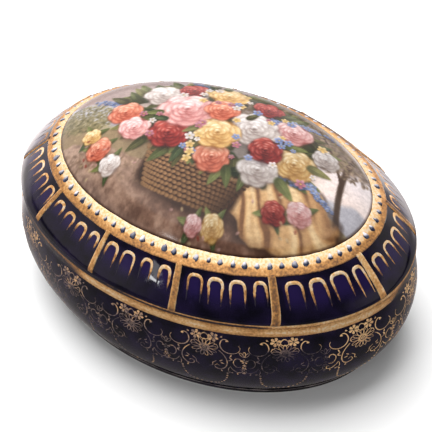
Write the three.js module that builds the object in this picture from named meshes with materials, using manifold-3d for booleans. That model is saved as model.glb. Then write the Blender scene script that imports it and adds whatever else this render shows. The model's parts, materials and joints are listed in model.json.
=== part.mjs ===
// An oval porcelain box with a lift-off domed lid. Both halves are glazed cobalt blue outside and white inside.
// The lid carries a painted oval field, a raised gilt border set with enamel beads, and gilt bars between its
// panels, and gilt bands run round both rims. Millimetres, +Z up, with the origin under the middle of the foot.
import * as THREE from "three";
import { mergeVertices } from "three/addons/utils/BufferGeometryUtils.js";
import Module from "manifold-3d";

// Ovals in plan. A half-length is along X and a half-width along Y.
const fieldHalfLength = 64.8; // painted field on the lid
const fieldHalfWidth = 43;
const rimHalfLength = 82.8; // outside of the bowl's rim
const rimHalfWidth = 58.6;
const lidOverhang = 0.4; // the lid's rim past the bowl's rim
const bowlSwell = 7.5; // how far the curve of the bowl's side aims past its rim
const footInset = 8.8; // the foot's outside, in from the bowl's rim

// Heights
const seamHeight = 48.3; // where the lid rests on the bowl, above the table
const swellHeight = 21.5; // height above the table that the curve of the bowl's side aims at
const footHeight = 2.8;
const footRecess = 2; // hollow under the floor, inside the foot ring
const lidHeight = 39; // seam to the top of the dome
const domeRise = 18.4; // edge of the painted field to the top of the dome
const borderDrop = 3.9; // fall of the surface across the gilt border
const domeFlatness = 0.52; // share of the field that the dome's curve sets off level for
const domeEdgeSlope = 1.07; // fall over run of the dome at the edge of the field
const domeEdgeRise = 10.1; // how high over the field's edge the dome's curve is aimed with that slope
const shoulderSwell = 0.8; // how far the curve of the lid's shoulder aims past its rim
const shoulderHeight = 3.7; // height above the seam that this curve aims at

// Porcelain walls
const lidWall = 4.2;
const bowlWall = 4.4;
const floorThickness = 4.2;
const footRingWidth = 4.4;

// Locating flange: the bowl's inner lip, which the lid's rim goes round
const flangeHeight = 4;
const flangeThickness = 2.6;
const flangeChamfer = 0.8;
const lidClearance = 0.6;

// Gilding, painting and enamel, laid over the glaze
const layGap = 0.3; // between a laid piece and the porcelain beside or under it
const paintThickness = 0.5;
const borderWidth = 5.75; // in plan
const borderThickness = 0.9;
const borderCrown = 0.35; // how much higher the middle of the border stands
const borderShoulder = 0.22; // share of the border's width that each sloping edge takes
const bandThickness = 0.5;
const bandProud = 0.15; // how far a rim band stands out of the glaze
const bowlBandHeight = 4.4;
const lidBandHeight = 1.5;
const barWidth = 2.7;
const barThickness = 0.35;

// Enamel beads along the border
const beadCount = 80;
const beadRadius = 1.15;
const beadHeight = 0.7;
const beadRoot = 0.4; // how deep a bead sits in the border
const beadTaper = 0.5; // top radius over bottom radius
const beadPlace = 0.43; // of the way across the border

// Widths of the lid's panels along the rim, anticlockwise from the first bar. They were laid out by hand, so
// they differ, and they are scaled together to close round the rim.
const panelWidths = [35.3, 37, 40, 42.6, 36.5, 36.9, 36.9, 36.9, 36.9, 36.9, 36.9, 36.9];
const firstBarAngle = -131.4; // degrees round the oval

// Facets
const ovalSegments = 64;
const curveSteps = 7;
const beadSides = 6;

// Worked-out places
const lidRimHalfLength = rimHalfLength + lidOverhang;
const borderHalfLength = fieldHalfLength + borderWidth;
const footHalfLength = rimHalfLength - footInset;
const domeTopZ = seamHeight + lidHeight;
const fieldEdgeZ = domeTopZ - domeRise;
const borderEdgeZ = fieldEdgeZ - borderDrop;
const floorZ = footRecess + floorThickness;
const lidRimInside = lidRimHalfLength - lidWall;
const flangeOutside = lidRimInside - lidClearance;
const flangeInside = flangeOutside - flangeThickness;
const flangeTopZ = seamHeight + flangeHeight;
const bandRebate = bandThickness + layGap - bandProud; // depth of the rebate under a rim band
const bowlBandTopZ = seamHeight - layGap;
const bowlBandBottomZ = bowlBandTopZ - bowlBandHeight;
const lidBandBottomZ = seamHeight + layGap;
const lidBandTopZ = lidBandBottomZ + lidBandHeight;

const cobaltGlaze = new THREE.MeshStandardMaterial({ color: 0x0e0b33, roughness: 0.12, metalness: 0 });
const gilding = new THREE.MeshStandardMaterial({ color: 0xd09a4c, roughness: 0.35, metalness: 1 });
const painting = new THREE.MeshStandardMaterial({ color: 0x9a7f6d, roughness: 0.2, metalness: 0 });

const wasm = await Module();
wasm.setup();

// A point of a profile: a half-length and a height.
const at = (halfLength, z) => new THREE.Vector2(halfLength, z);

// Half-width of the oval that has a given half-length. Ovals inside the painted field keep its proportions,
// the border is as wide all round, and outside it the ovals widen evenly to the rim's.
function halfWidth(halfLength) {
  if (halfLength < fieldHalfLength) return (halfLength * fieldHalfWidth) / fieldHalfLength;
  if (halfLength < borderHalfLength) return halfLength - fieldHalfLength + fieldHalfWidth;
  const borderHalfWidth = fieldHalfWidth + borderWidth;
  const sideShare = (rimHalfWidth - borderHalfWidth) / (rimHalfLength - borderHalfLength);
  return borderHalfWidth + (halfLength - borderHalfLength) * sideShare;
}

// Where a profile point lies at an angle round the oval.
function onOval(point, angle) {
  return new THREE.Vector3(point.x * Math.cos(angle), halfWidth(point.x) * Math.sin(angle), point.y);
}

// Directions at a profile point: round the oval, and out of the surface whose profile runs from before to after.
function directions(point, before, after, angle) {
  const round = new THREE.Vector3(-point.x * Math.sin(angle), halfWidth(point.x) * Math.cos(angle), 0);
  const down = onOval(after, angle).sub(onOval(before, angle));
  return { round: round.normalize(), out: down.cross(round).normalize() };
}

// Angles that divide an oval by arc length into the given shares, starting from the first angle.
function anglesByLength(halfLength, firstAngle, shares) {
  const width = halfWidth(halfLength);
  const oval = new THREE.EllipseCurve(0, 0, halfLength, width, firstAngle, firstAngle + 2 * Math.PI);
  oval.arcLengthDivisions = 2000;
  const total = shares.reduce((sum, share) => sum + share, 0);
  let reached = 0;
  return shares.map((share) => {
    const point = oval.getPointAt(reached / total);
    reached += share;
    return Math.atan2(point.y / width, point.x / halfLength);
  });
}

// Points of a curve without its first, for joining to what comes before it.
const onwards = (curve) => curve.getPoints(curveSteps).slice(1);

// A profile moved into the porcelain under it. The profile runs outwards from the axis.
function sunk(points, depth) {
  return points.map((point, i) => {
    const before = points[Math.max(0, i - 1)];
    const after = points[Math.min(points.length - 1, i + 1)];
    const along = after.clone().sub(before).normalize();
    return at(Math.max(0, point.x + along.y * depth), point.y - along.x * depth);
  });
}

// Closed solid from a geometry whose faces point outwards.
function solidFrom(geometry) {
  geometry.deleteAttribute("normal");
  geometry.deleteAttribute("uv");
  const merged = mergeVertices(geometry, 1e-4);
  const triangles = [];
  for (let i = 0; i < merged.index.count; i += 3) {
    const [a, b, c] = [0, 1, 2].map((k) => merged.index.getX(i + k));
    if (a !== b && b !== c && c !== a) triangles.push(a, b, c);
  }
  const vertProperties = new Float32Array(merged.getAttribute("position").array);
  const triVerts = new Uint32Array(triangles);
  return new wasm.Manifold(new wasm.Mesh({ numProp: 3, vertProperties, triVerts }));
}

function geometryFrom(solid) {
  const mesh = solid.getMesh();
  const geometry = new THREE.BufferGeometry();
  geometry.setAttribute("position", new THREE.BufferAttribute(new Float32Array(mesh.vertProperties), 3));
  geometry.setIndex(new THREE.BufferAttribute(new Uint32Array(mesh.triVerts), 1));
  geometry.computeVertexNormals();
  return geometry;
}

// Turns a profile into an oval solid. The profile runs outwards underneath, up the outside and back on top, and
// starts and ends on the axis or closes on itself.
function ovalSolid(profile) {
  const geometry = new THREE.LatheGeometry(profile, ovalSegments);
  geometry.rotateX(Math.PI / 2);
  const position = geometry.getAttribute("position");
  for (let i = 0; i < position.count; i++) {
    const radius = Math.hypot(position.getX(i), position.getY(i));
    if (radius > 1e-6) position.setY(i, (position.getY(i) * halfWidth(radius)) / radius);
  }
  return solidFrom(geometry);
}

// Closed solid through matching sections, each a list of points in the same order.
function loft(sections) {
  const sides = sections[0].length;
  const index = [];
  for (let s = 0; s + 1 < sections.length; s++) {
    for (let k = 0; k < sides; k++) {
      const [a, b] = [s * sides + k, s * sides + ((k + 1) % sides)];
      index.push(a, b, b + sides, a, b + sides, a + sides);
    }
  }
  const last = (sections.length - 1) * sides;
  for (let k = 1; k + 1 < sides; k++) {
    index.push(0, k + 1, k, last, last + k, last + k + 1);
  }
  const geometry = new THREE.BufferGeometry().setFromPoints(sections.flat());
  geometry.setIndex(index);
  return solidFrom(geometry);
}

// The lid's finished surface, from the axis to the rim: the dome, then the border, then the shoulder.
const fieldEdge = at(fieldHalfLength, fieldEdgeZ);
const borderEdge = at(borderHalfLength, borderEdgeZ);
const dome = new THREE.CubicBezierCurve(
  at(0, domeTopZ),
  at(fieldHalfLength * domeFlatness, domeTopZ),
  at(fieldHalfLength - domeEdgeRise / domeEdgeSlope, fieldEdgeZ + domeEdgeRise),
  fieldEdge,
).getPoints(curveSteps);
const shoulder = new THREE.QuadraticBezierCurve(
  borderEdge,
  at(lidRimHalfLength + shoulderSwell, seamHeight + shoulderHeight),
  at(lidRimHalfLength, lidBandTopZ + layGap),
).getPoints(curveSteps);

// Bowl: foot ring, swelling side, rebate for the gilt band, ledge for the lid, locating flange and inside.
function bowl() {
  const bandFloor = rimHalfLength - bandRebate;
  const sideTopZ = bowlBandBottomZ - layGap;
  const side = new THREE.QuadraticBezierCurve(
    at(footHalfLength, footHeight),
    at(rimHalfLength + bowlSwell, swellHeight),
    at(rimHalfLength, sideTopZ),
  );
  const inside = new THREE.QuadraticBezierCurve(
    at(flangeInside, sideTopZ),
    at(rimHalfLength + bowlSwell - bowlWall, swellHeight),
    at(footHalfLength - bowlWall, floorZ),
  );
  return ovalSolid([
    at(0, footRecess),
    at(footHalfLength - footRingWidth, footRecess),
    at(footHalfLength - footRingWidth, 0),
    at(footHalfLength, 0),
    at(footHalfLength, footHeight),
    ...onwards(side),
    at(bandFloor, sideTopZ),
    at(bandFloor, seamHeight),
    at(flangeOutside, seamHeight),
    at(flangeOutside, flangeTopZ - flangeChamfer),
    at(flangeOutside - flangeChamfer, flangeTopZ),
    at(flangeInside, flangeTopZ),
    at(flangeInside, sideTopZ),
    ...onwards(inside),
    at(0, floorZ),
  ]);
}

// Lid: an even wall under the dome and shoulder, with rebates where the painting, border and rim band lie.
function lid() {
  const bandFloor = lidRimHalfLength - bandRebate;
  const innerRimTopZ = flangeTopZ + lidClearance;
  const inside = sunk([...dome, ...shoulder], lidWall);
  return ovalSolid([
    ...inside.filter((point) => point.y > innerRimTopZ && point.x < lidRimInside),
    at(lidRimInside, innerRimTopZ),
    at(lidRimInside, seamHeight),
    at(bandFloor, seamHeight),
    at(bandFloor, lidBandTopZ + layGap),
    ...[...shoulder].reverse(),
    ...sunk([fieldEdge, borderEdge], borderThickness + layGap).reverse(),
    ...sunk(dome, paintThickness + layGap).reverse(),
  ]);
}

// Painted field: a thin shell that caps the dome, inside the border.
function paintedField() {
  const top = dome.slice(0, -1);
  const under = sunk(dome, paintThickness).slice(0, -1);
  const toEdge = fieldEdge.clone().sub(top.at(-1));
  const edge = fieldEdge.clone().sub(toEdge.setLength(layGap));
  const thickness = under.at(-1).clone().sub(top.at(-1));
  return ovalSolid([...under, edge.clone().add(thickness), edge, ...top.reverse()]);
}

// Border: a raised gilt ring, crowned across, with a row of enamel beads fused on it.
function border() {
  const along = borderEdge.clone().sub(fieldEdge).normalize();
  const up = at(-along.y, along.x);
  const inner = fieldEdge.clone().addScaledVector(along, layGap);
  const outer = borderEdge.clone().addScaledVector(along, -layGap);
  const across = (share, height) => inner.clone().lerp(outer, share).addScaledVector(up, height);
  const ring = ovalSolid([
    across(0, -borderThickness),
    across(1, -borderThickness),
    across(1, 0),
    across(1 - borderShoulder, borderCrown),
    across(borderShoulder, borderCrown),
    across(0, 0),
    across(0, -borderThickness),
  ]);
  const seat = across(beadPlace, borderCrown);
  const beads = anglesByLength(seat.x, 0, Array(beadCount).fill(1)).map((angle) => {
    const { out } = directions(seat, inner, outer, angle);
    const full = beadHeight + beadRoot;
    const bead = new THREE.CylinderGeometry(beadRadius * beadTaper, beadRadius, full, beadSides);
    bead.applyQuaternion(new THREE.Quaternion().setFromUnitVectors(new THREE.Vector3(0, 1, 0), out));
    const middle = onOval(seat, angle).addScaledVector(out, (beadHeight - beadRoot) / 2);
    bead.translate(middle.x, middle.y, middle.z);
    return solidFrom(bead);
  });
  return beads.reduce((whole, bead) => whole.add(bead), ring);
}

// Gilt band round a rim, between two heights.
function rimBand(halfLength, bottomZ, topZ) {
  const back = halfLength + bandProud - bandThickness;
  const face = halfLength + bandProud;
  return ovalSolid([at(back, bottomZ), at(face, bottomZ), at(face, topZ), at(back, topZ), at(back, bottomZ)]);
}

// Gilt bar down the shoulder at one angle, from the border to the rim band.
function bar(angle) {
  const sections = shoulder.map((point, i) => {
    const before = shoulder[Math.max(0, i - 1)];
    const after = shoulder[Math.min(shoulder.length - 1, i + 1)];
    const { round, out } = directions(point, before, after, angle);
    const corner = (side, height) =>
      onOval(point, angle).addScaledVector(round, (side * barWidth) / 2).addScaledVector(out, height);
    const top = layGap + barThickness;
    return [corner(-1, layGap), corner(1, layGap), corner(1, top), corner(-1, top)];
  });
  return loft(sections);
}

const box = new THREE.Group();
function add(name, solid, material) {
  const mesh = new THREE.Mesh(geometryFrom(solid), material);
  mesh.name = name;
  box.add(mesh);
}

add("base_bowl", bowl(), cobaltGlaze);
add("base_rim_band", rimBand(rimHalfLength, bowlBandBottomZ, bowlBandTopZ), gilding);
add("lid_shell", lid(), cobaltGlaze);
add("painted_field", paintedField(), painting);
add("picture_border", border(), gilding);
add("lid_rim_band", rimBand(lidRimHalfLength, lidBandBottomZ, lidBandTopZ), gilding);
const barAngles = anglesByLength(lidRimHalfLength, THREE.MathUtils.degToRad(firstBarAngle), panelWidths);
barAngles.forEach((angle, i) => {
  add(`lid_bar_${String(i + 1).padStart(2, "0")}`, bar(angle), gilding);
});

export default box;
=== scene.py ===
"""An oval porcelain box with a lift-off lid: cobalt glaze, gilding, enamel beads and a painted dome."""
import json
import math

import bpy
import numpy as np
from mathutils import Matrix, Vector, noise

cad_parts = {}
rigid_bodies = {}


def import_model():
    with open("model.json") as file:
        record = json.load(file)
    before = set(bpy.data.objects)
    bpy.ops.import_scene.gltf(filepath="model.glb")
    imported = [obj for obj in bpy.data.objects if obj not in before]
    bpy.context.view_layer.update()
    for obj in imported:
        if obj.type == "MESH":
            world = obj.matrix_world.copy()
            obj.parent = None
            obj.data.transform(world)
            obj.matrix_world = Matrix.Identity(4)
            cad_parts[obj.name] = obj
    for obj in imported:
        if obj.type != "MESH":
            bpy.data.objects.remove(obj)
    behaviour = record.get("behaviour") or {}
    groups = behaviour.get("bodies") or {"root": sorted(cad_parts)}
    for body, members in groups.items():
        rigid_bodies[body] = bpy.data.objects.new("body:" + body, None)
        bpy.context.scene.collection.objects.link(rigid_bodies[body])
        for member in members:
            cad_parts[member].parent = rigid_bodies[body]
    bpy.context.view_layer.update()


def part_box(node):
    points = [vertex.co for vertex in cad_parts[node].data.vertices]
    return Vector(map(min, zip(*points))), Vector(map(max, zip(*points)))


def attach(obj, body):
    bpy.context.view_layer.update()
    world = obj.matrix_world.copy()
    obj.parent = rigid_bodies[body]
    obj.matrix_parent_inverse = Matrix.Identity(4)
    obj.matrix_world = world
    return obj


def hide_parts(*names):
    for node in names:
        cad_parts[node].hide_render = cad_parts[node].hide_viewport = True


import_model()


# Bowl: one slip-cast porcelain piece that swells over a low foot ring, dipped in cobalt glaze outside.
# The inside is glazed white. The foot, the ledge under the lid and the lip that locates it are left bare.
# A fine roll marks where the side meets the foot, coloured pale as a painted highlight along the crease.
mm = 0.001
rim_band_low, rim_band_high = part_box("base_rim_band")
seam_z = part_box("lid_shell")[0].z
field_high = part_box("painted_field")[1]
lip_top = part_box("base_bowl")[1].z
band_proud = 0.15 * mm
rim_length = rim_band_high.x - band_proud
rim_width = rim_band_high.y - band_proud
lid_length = rim_length + 0.4 * mm
field_length = field_high.x + 0.2 * mm
field_width = field_high.y + 0.2 * mm
border_across = 5.75 * mm
border_length = field_length + border_across
border_width = field_width + border_across
oval_steps = 240


def half_width(half_length):
    """Half-width of an oval from its half-length: like the painting's, then evenly out to the rim's."""
    if half_length < field_length:
        return half_length * field_width / field_length
    if half_length < border_length:
        return half_length - field_length + field_width
    share = (half_length - border_length) / (rim_length - border_length)
    return border_width + share * (rim_width - border_width)


def bow(start, aim, end, steps):
    """Points of a curve that leaves start towards aim and arrives at end. Its first point is left out."""
    points = []
    for i in range(1, steps + 1):
        t = i / steps
        length, z = ((1 - t) ** 2 * start[k] + 2 * t * (1 - t) * aim[k] + t * t * end[k] for k in (0, 1))
        points.append((length, z))
    return points


def turned_oval(name, rings):
    """Piece extruded from ring to ring. A ring is a half-length and a height, and 0 closes the piece."""
    body = [ring for ring in rings if ring[0] > 0]
    length, z = body[0]
    bpy.ops.object.select_all(action="DESELECT")
    bpy.ops.mesh.primitive_circle_add(vertices=oval_steps, radius=length)
    piece = bpy.context.object
    piece.name = name
    bpy.ops.object.mode_set(mode="EDIT")
    bpy.ops.mesh.select_all(action="SELECT")
    bpy.ops.transform.resize(value=(1, half_width(length) / length, 1), center_override=(0, 0, 0))
    bpy.ops.transform.translate(value=(0, 0, z))
    if rings[0][0] == 0:
        bpy.ops.mesh.extrude_region_move()
        bpy.ops.mesh.merge(type="CENTER")
        bpy.ops.mesh.select_more()
        bpy.ops.mesh.region_to_loop()
    for next_length, next_z in body[1:]:
        bpy.ops.mesh.extrude_region_move()
        scale = (next_length / length, half_width(next_length) / half_width(length), 1)
        bpy.ops.transform.resize(value=scale, center_override=(0, 0, z))
        bpy.ops.transform.translate(value=(0, 0, next_z - z))
        length, z = next_length, next_z
    if rings[-1][0] == 0:
        bpy.ops.mesh.extrude_region_move()
        bpy.ops.mesh.merge(type="CENTER")
    bpy.ops.mesh.select_all(action="SELECT")
    bpy.ops.mesh.remove_doubles(threshold=0.01 * mm)
    bpy.ops.mesh.normals_make_consistent(inside=False)
    bpy.ops.object.mode_set(mode="OBJECT")
    bpy.ops.object.shade_smooth_by_angle(angle=math.radians(38))
    return piece


foot_length = rim_length - 8.8 * mm
foot_height = 2.8 * mm
foot_across = 4.4 * mm
foot_inside = foot_length - foot_across
foot_roll = [(0.25 * mm, -0.6 * mm), (0.5 * mm, -0.35 * mm), (0.45 * mm, -0.1 * mm)]
recess_z = 2 * mm
floor_z = 6.2 * mm
side_top = rim_band_low.z - 0.3 * mm
lip_thickness = 2.6 * mm
lip_outside = lid_length - 4.8 * mm
lip_inside = lip_outside - lip_thickness
lip_round = 1.1 * mm
outer_corner = (lip_outside, lip_top)
inner_corner = (lip_inside, lip_top)
bowl_thickness = 4.4 * mm
swell = (rim_length + 7.5 * mm, 21.5 * mm)
inner_swell = (swell[0] - bowl_thickness, swell[1])
bowl_wall = bow((rim_length, side_top), swell, (foot_length, foot_height), 44)
bowl_wall.insert(0, (rim_length, side_top))
bowl_rings = [(0, recess_z), (foot_inside - 0.8 * mm, recess_z), (foot_inside, recess_z - 0.5 * mm)]
bowl_rings += [(foot_inside + 0.1 * mm, 0.4 * mm), (foot_inside + 0.5 * mm, 0)]
bowl_rings += [(foot_length - 0.9 * mm, 0), (foot_length - 0.3 * mm, 0.25 * mm)]
bowl_rings += [(foot_length, 0.9 * mm), (foot_length - 0.1 * mm, foot_height - 0.75 * mm)]
bowl_rings += [(foot_length + outward, foot_height + up) for outward, up in foot_roll]
bowl_rings += list(reversed(bowl_wall))
bowl_rings += [(rim_length, seam_z - 0.5 * mm), (rim_length - 0.15 * mm, seam_z - 0.15 * mm)]
bowl_rings += [(rim_length - 0.5 * mm, seam_z), (lip_outside + 0.3 * mm, seam_z)]
bowl_rings += [(lip_outside, seam_z + 0.3 * mm), (lip_outside, lip_top - lip_round)]
bowl_rings += bow((lip_outside, lip_top - lip_round), outer_corner, (lip_outside - lip_round, lip_top), 5)
bowl_rings += bow((lip_inside + 1 * mm, lip_top), inner_corner, (lip_inside, lip_top - 1.2 * mm), 5)
bowl_rings += bow((lip_inside, side_top), inner_swell, (foot_inside, floor_z), 26)
bowl_rings += [(foot_inside - 8 * mm, floor_z - 0.1 * mm), (0, floor_z - 0.1 * mm)]
bowl = turned_oval("porcelain_bowl", bowl_rings)


def new_material(name, roughness, ior):
    """A material and its Principled shader."""
    material = bpy.data.materials.new(name)
    material.use_nodes = True
    shader = material.node_tree.nodes["Principled BSDF"]
    shader.inputs["Roughness"].default_value = roughness
    shader.inputs["IOR"].default_value = ior
    return material, shader


def clouds(material, scale, detail):
    """Noise through the piece, with patches of about 1 m over the scale."""
    place = material.node_tree.nodes.new("ShaderNodeTexCoord")
    texture = material.node_tree.nodes.new("ShaderNodeTexNoise")
    texture.inputs["Scale"].default_value = scale
    texture.inputs["Detail"].default_value = detail
    material.node_tree.links.new(place.outputs["Object"], texture.inputs["Vector"])
    return texture.outputs["Fac"]


def ramp(material, source, stops):
    """Colours by the value of a socket. A stop is a value and a colour."""
    made = material.node_tree.nodes.new("ShaderNodeValToRGB")
    elements = made.color_ramp.elements
    while len(elements) < len(stops):
        elements.new(0.5)
    for element, (value, colour) in zip(elements, stops):
        element.position = value
        element.color = (*colour, 1)
    material.node_tree.links.new(source, made.inputs["Fac"])
    return made.outputs["Color"]


def relief(material, source, depth, strength):
    """Bump from a socket, into the material's own shader."""
    bump = material.node_tree.nodes.new("ShaderNodeBump")
    bump.inputs["Strength"].default_value = strength
    bump.inputs["Distance"].default_value = depth
    shader = material.node_tree.nodes["Principled BSDF"]
    material.node_tree.links.new(source, bump.inputs["Height"])
    material.node_tree.links.new(bump.outputs["Normal"], shader.inputs["Normal"])


def laid_over(material, under, layer, colour):
    """Lays a colour over another, as strongly as a value stored on the piece says."""
    stored = material.node_tree.nodes.new("ShaderNodeAttribute")
    stored.attribute_name = layer
    mixed = material.node_tree.nodes.new("ShaderNodeMix")
    mixed.data_type = "RGBA"
    mixed.inputs[7].default_value = (*colour, 1)
    material.node_tree.links.new(stored.outputs["Fac"], mixed.inputs[0])
    material.node_tree.links.new(under, mixed.inputs[6])
    return mixed.outputs[2]


cobalt, shader = new_material("cobalt_glaze", roughness=0.05, ior=1.52)
thin_tones = [(0.36, (0.003, 0.0025, 0.006)), (0.68, (0.009, 0.006, 0.022))]
thin_glaze = ramp(cobalt, clouds(cobalt, 130, 3), thin_tones)
glaze = laid_over(cobalt, thin_glaze, "deep_glaze", (0.013, 0.0075, 0.043))
cobalt.node_tree.links.new(glaze, shader.inputs["Base Color"])
relief(cobalt, clouds(cobalt, 85, 2), depth=0.4 * mm, strength=0.45)

white_glaze, shader = new_material("white_glaze", roughness=0.12, ior=1.5)
milky_tones = [(0.3, (0.72, 0.73, 0.72)), (0.7, (0.81, 0.8, 0.77))]
milky = ramp(white_glaze, clouds(white_glaze, 45, 3), milky_tones)
white_glaze.node_tree.links.new(milky, shader.inputs["Base Color"])
relief(white_glaze, clouds(white_glaze, 120, 2), depth=0.3 * mm, strength=0.25)

biscuit, shader = new_material("bare_porcelain", roughness=0.75, ior=1.45)
chalky_tones = [(0.3, (0.42, 0.38, 0.33)), (0.7, (0.66, 0.62, 0.56))]
chalky = ramp(biscuit, clouds(biscuit, 700, 5), chalky_tones)
biscuit.node_tree.links.new(chalky, shader.inputs["Base Color"])
relief(biscuit, clouds(biscuit, 1500, 4), depth=0.1 * mm, strength=0.3)

# Painted highlight: this pale glaze on the foot's roll stands for the light caught along the crease.
roll_highlight_glaze, shader = new_material("roll_highlight_glaze", roughness=0.35, ior=1.5)
roll_highlight_tones = [(0.4, (0.12, 0.1, 0.1)), (0.65, (0.5, 0.43, 0.4))]
roll_highlight = ramp(roll_highlight_glaze, clouds(roll_highlight_glaze, 160, 3), roll_highlight_tones)
roll_highlight_glaze.node_tree.links.new(roll_highlight, shader.inputs["Base Color"])

bowl_finishes = [cobalt, white_glaze, biscuit, roll_highlight_glaze]
for finish in bowl_finishes:
    bowl.data.materials.append(finish)
for face in bowl.data.polygons:
    faces_in = face.normal.x * face.center.x + face.normal.y * face.center.y < 0
    above_floor = face.center.z > floor_z - 1 * mm
    in_recess = face.center.z < recess_z + 0.1 * mm and face.normal.z < -0.5
    on_roll = foot_height - 0.6 * mm < face.center.z < foot_height - 0.15 * mm and not faces_in
    if face.center.z < 0.3 * mm or face.center.z > seam_z - 0.1 * mm:
        face.material_index = bowl_finishes.index(biscuit)
    elif in_recess or (above_floor and (faces_in or face.normal.z > 0.9)):
        face.material_index = bowl_finishes.index(white_glaze)
    elif on_roll:
        face.material_index = bowl_finishes.index(roll_highlight_glaze)
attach(bowl, "base")
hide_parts("base_bowl")


# Gilt band round the bowl's rim: liquid gold brushed on over the glaze, fired and burnished.
# It is rubbed thin in specks, most of all along its two edges.
band_depth = 0.35 * mm
band_round = 0.12 * mm
band_soft = 0.04 * mm
band_swell = 0.05 * mm


def gilt_band(name, half_length, bottom, top):
    """Thin ring that stands a little out of the glaze, with softened edges."""
    face_length = half_length + band_proud
    under_length = half_length - band_depth
    rings = [(under_length, bottom), (half_length, bottom), (face_length - band_soft, bottom + band_soft)]
    rings += [(face_length, bottom + band_round), (face_length + band_swell, (bottom + top) / 2)]
    rings += [(face_length, top - band_round), (face_length - band_soft, top - band_soft)]
    rings += [(half_length, top), (under_length, top), (under_length, bottom)]
    return turned_oval(name, rings)


def wear_and_shade_gold(piece, wear_and_shade_of):
    """Stores how far the gold is thinned at each vertex, 0 to 1, for the gilding: wear, painted shade and
    painted highlight.
    """
    layer = piece.data.attributes.new("gold_wear_and_shade", "FLOAT", "POINT")
    for vertex, place in zip(piece.data.vertices, layer.data):
        place.value = min(1.0, max(0.0, wear_and_shade_of(vertex.co)))


def gold_over_glaze(name, tones, metallic):
    """Gold that thins to the glaze as its stored wear and painted shade say. Tones run from fresh gold, 0,
    to bare glaze, 1.
    """
    material, shader = new_material(name, roughness=0.45, ior=1.5)
    nodes = material.node_tree.nodes
    links = material.node_tree.links
    gold_wear_and_shade = nodes.new("ShaderNodeAttribute")
    gold_wear_and_shade.attribute_name = "gold_wear_and_shade"
    speckle = nodes.new("ShaderNodeMath")
    speckle.operation = "MULTIPLY_ADD"
    speckle.inputs[1].default_value = 0.85
    links.new(clouds(material, 1100, 4), speckle.inputs[0])
    links.new(gold_wear_and_shade.outputs["Fac"], speckle.inputs[2])
    thin = nodes.new("ShaderNodeMapRange")
    thin.inputs["From Min"].default_value = 0.35
    thin.inputs["From Max"].default_value = 1.3
    links.new(speckle.outputs["Value"], thin.inputs["Value"])
    links.new(ramp(material, thin.outputs["Result"], tones), shader.inputs["Base Color"])
    metal_shades = [(0.5, (metallic, metallic, metallic)), (0.95, (0.05, 0.05, 0.05))]
    links.new(ramp(material, thin.outputs["Result"], metal_shades), shader.inputs["Metallic"])
    burnish_shades = [(0.3, (0.3, 0.3, 0.3)), (0.7, (0.48, 0.48, 0.48))]
    links.new(ramp(material, clouds(material, 320, 3), burnish_shades), shader.inputs["Roughness"])
    relief(material, clouds(material, 900, 3), depth=0.08 * mm, strength=0.5)
    return material


gold_tones = [(0, (1.0, 0.79, 0.56)), (0.16, (0.96, 0.6, 0.27)), (0.42, (0.7, 0.34, 0.115))]
gold_tones += [(0.7, (0.24, 0.115, 0.05)), (1, (0.016, 0.012, 0.02))]
gilding = gold_over_glaze("gilding", gold_tones, metallic=0.55)


def wavering(spot, scale):
    """Smooth noise from -1 to 1 along a piece, in patches of a size."""
    return noise.noise(Vector(spot) / scale)


rim_band = gilt_band("bowl_rim_gilding", rim_length, rim_band_low.z, rim_band_high.z)
band_middle = (rim_band_low.z + rim_band_high.z) / 2
band_half = (rim_band_high.z - rim_band_low.z) / 2


def eased(value, start, end):
    """0 before the start, 1 after the end, and a smooth climb between."""
    share = min(1.0, max(0.0, (value - start) / (end - start)))
    return share * share * (3 - 2 * share)


def degrees_round(spot):
    """Place round the oval, from -180 to 180 degrees."""
    return math.degrees(math.atan2(spot.y / rim_width, spot.x / rim_length))


def band_wear(spot):
    place = degrees_round(spot)
    # At the oval's left and right ends the band's lower part goes dark, down to the glaze.
    ends = eased(place, -14, 2) * (1 - 0.6 * eased(place, 35, 70)) + eased(-place, 104, 122)
    down = (rim_band_high.z - spot.z) / (2 * band_half)
    towards_edge = abs(spot.z - band_middle) / band_half
    patch = 0.22 * wavering(spot, 9 * mm) + 0.14 * wavering(spot, 2.5 * mm)
    fresh = 0.05 + 0.36 * towards_edge ** 4 + patch
    return fresh + min(1.0, ends) * (0.1 + 1.3 * eased(down, 0.1, 0.28))


wear_and_shade_gold(rim_band, band_wear)
rim_band.data.materials.append(gilding)
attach(rim_band, "base")
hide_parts("base_rim_band")


# Gold scrollwork round the bowl: raised paste lines under gold, a daisy between scrolls fifteen times over.
# Its gold is dulled to brown on the left and, as painted shade, low on the wall where it turns down. A
# festoon of dashes hangs under each daisy.
motif_count = 15
first_motif = math.radians(-49)
scroll_tones = [(0, (1.0, 0.66, 0.32)), (0.3, (0.78, 0.46, 0.22)), (0.55, (0.3, 0.2, 0.16))]
scroll_tones += [(0.8, (0.1, 0.07, 0.07)), (1, (0.02, 0.014, 0.022))]
scroll_gilding = gold_over_glaze("scroll_gilding", scroll_tones, metallic=0.3)


def rim_walk(first_angle, width, length):
    """Distances round a rim from an angle, and the angle at each of them."""
    angles = first_angle + np.linspace(0, 2 * math.pi, 1441)
    steps = np.hypot(np.diff(length * np.cos(angles)), np.diff(width * np.sin(angles)))
    return np.concatenate([[0], np.cumsum(steps)]), angles


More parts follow.
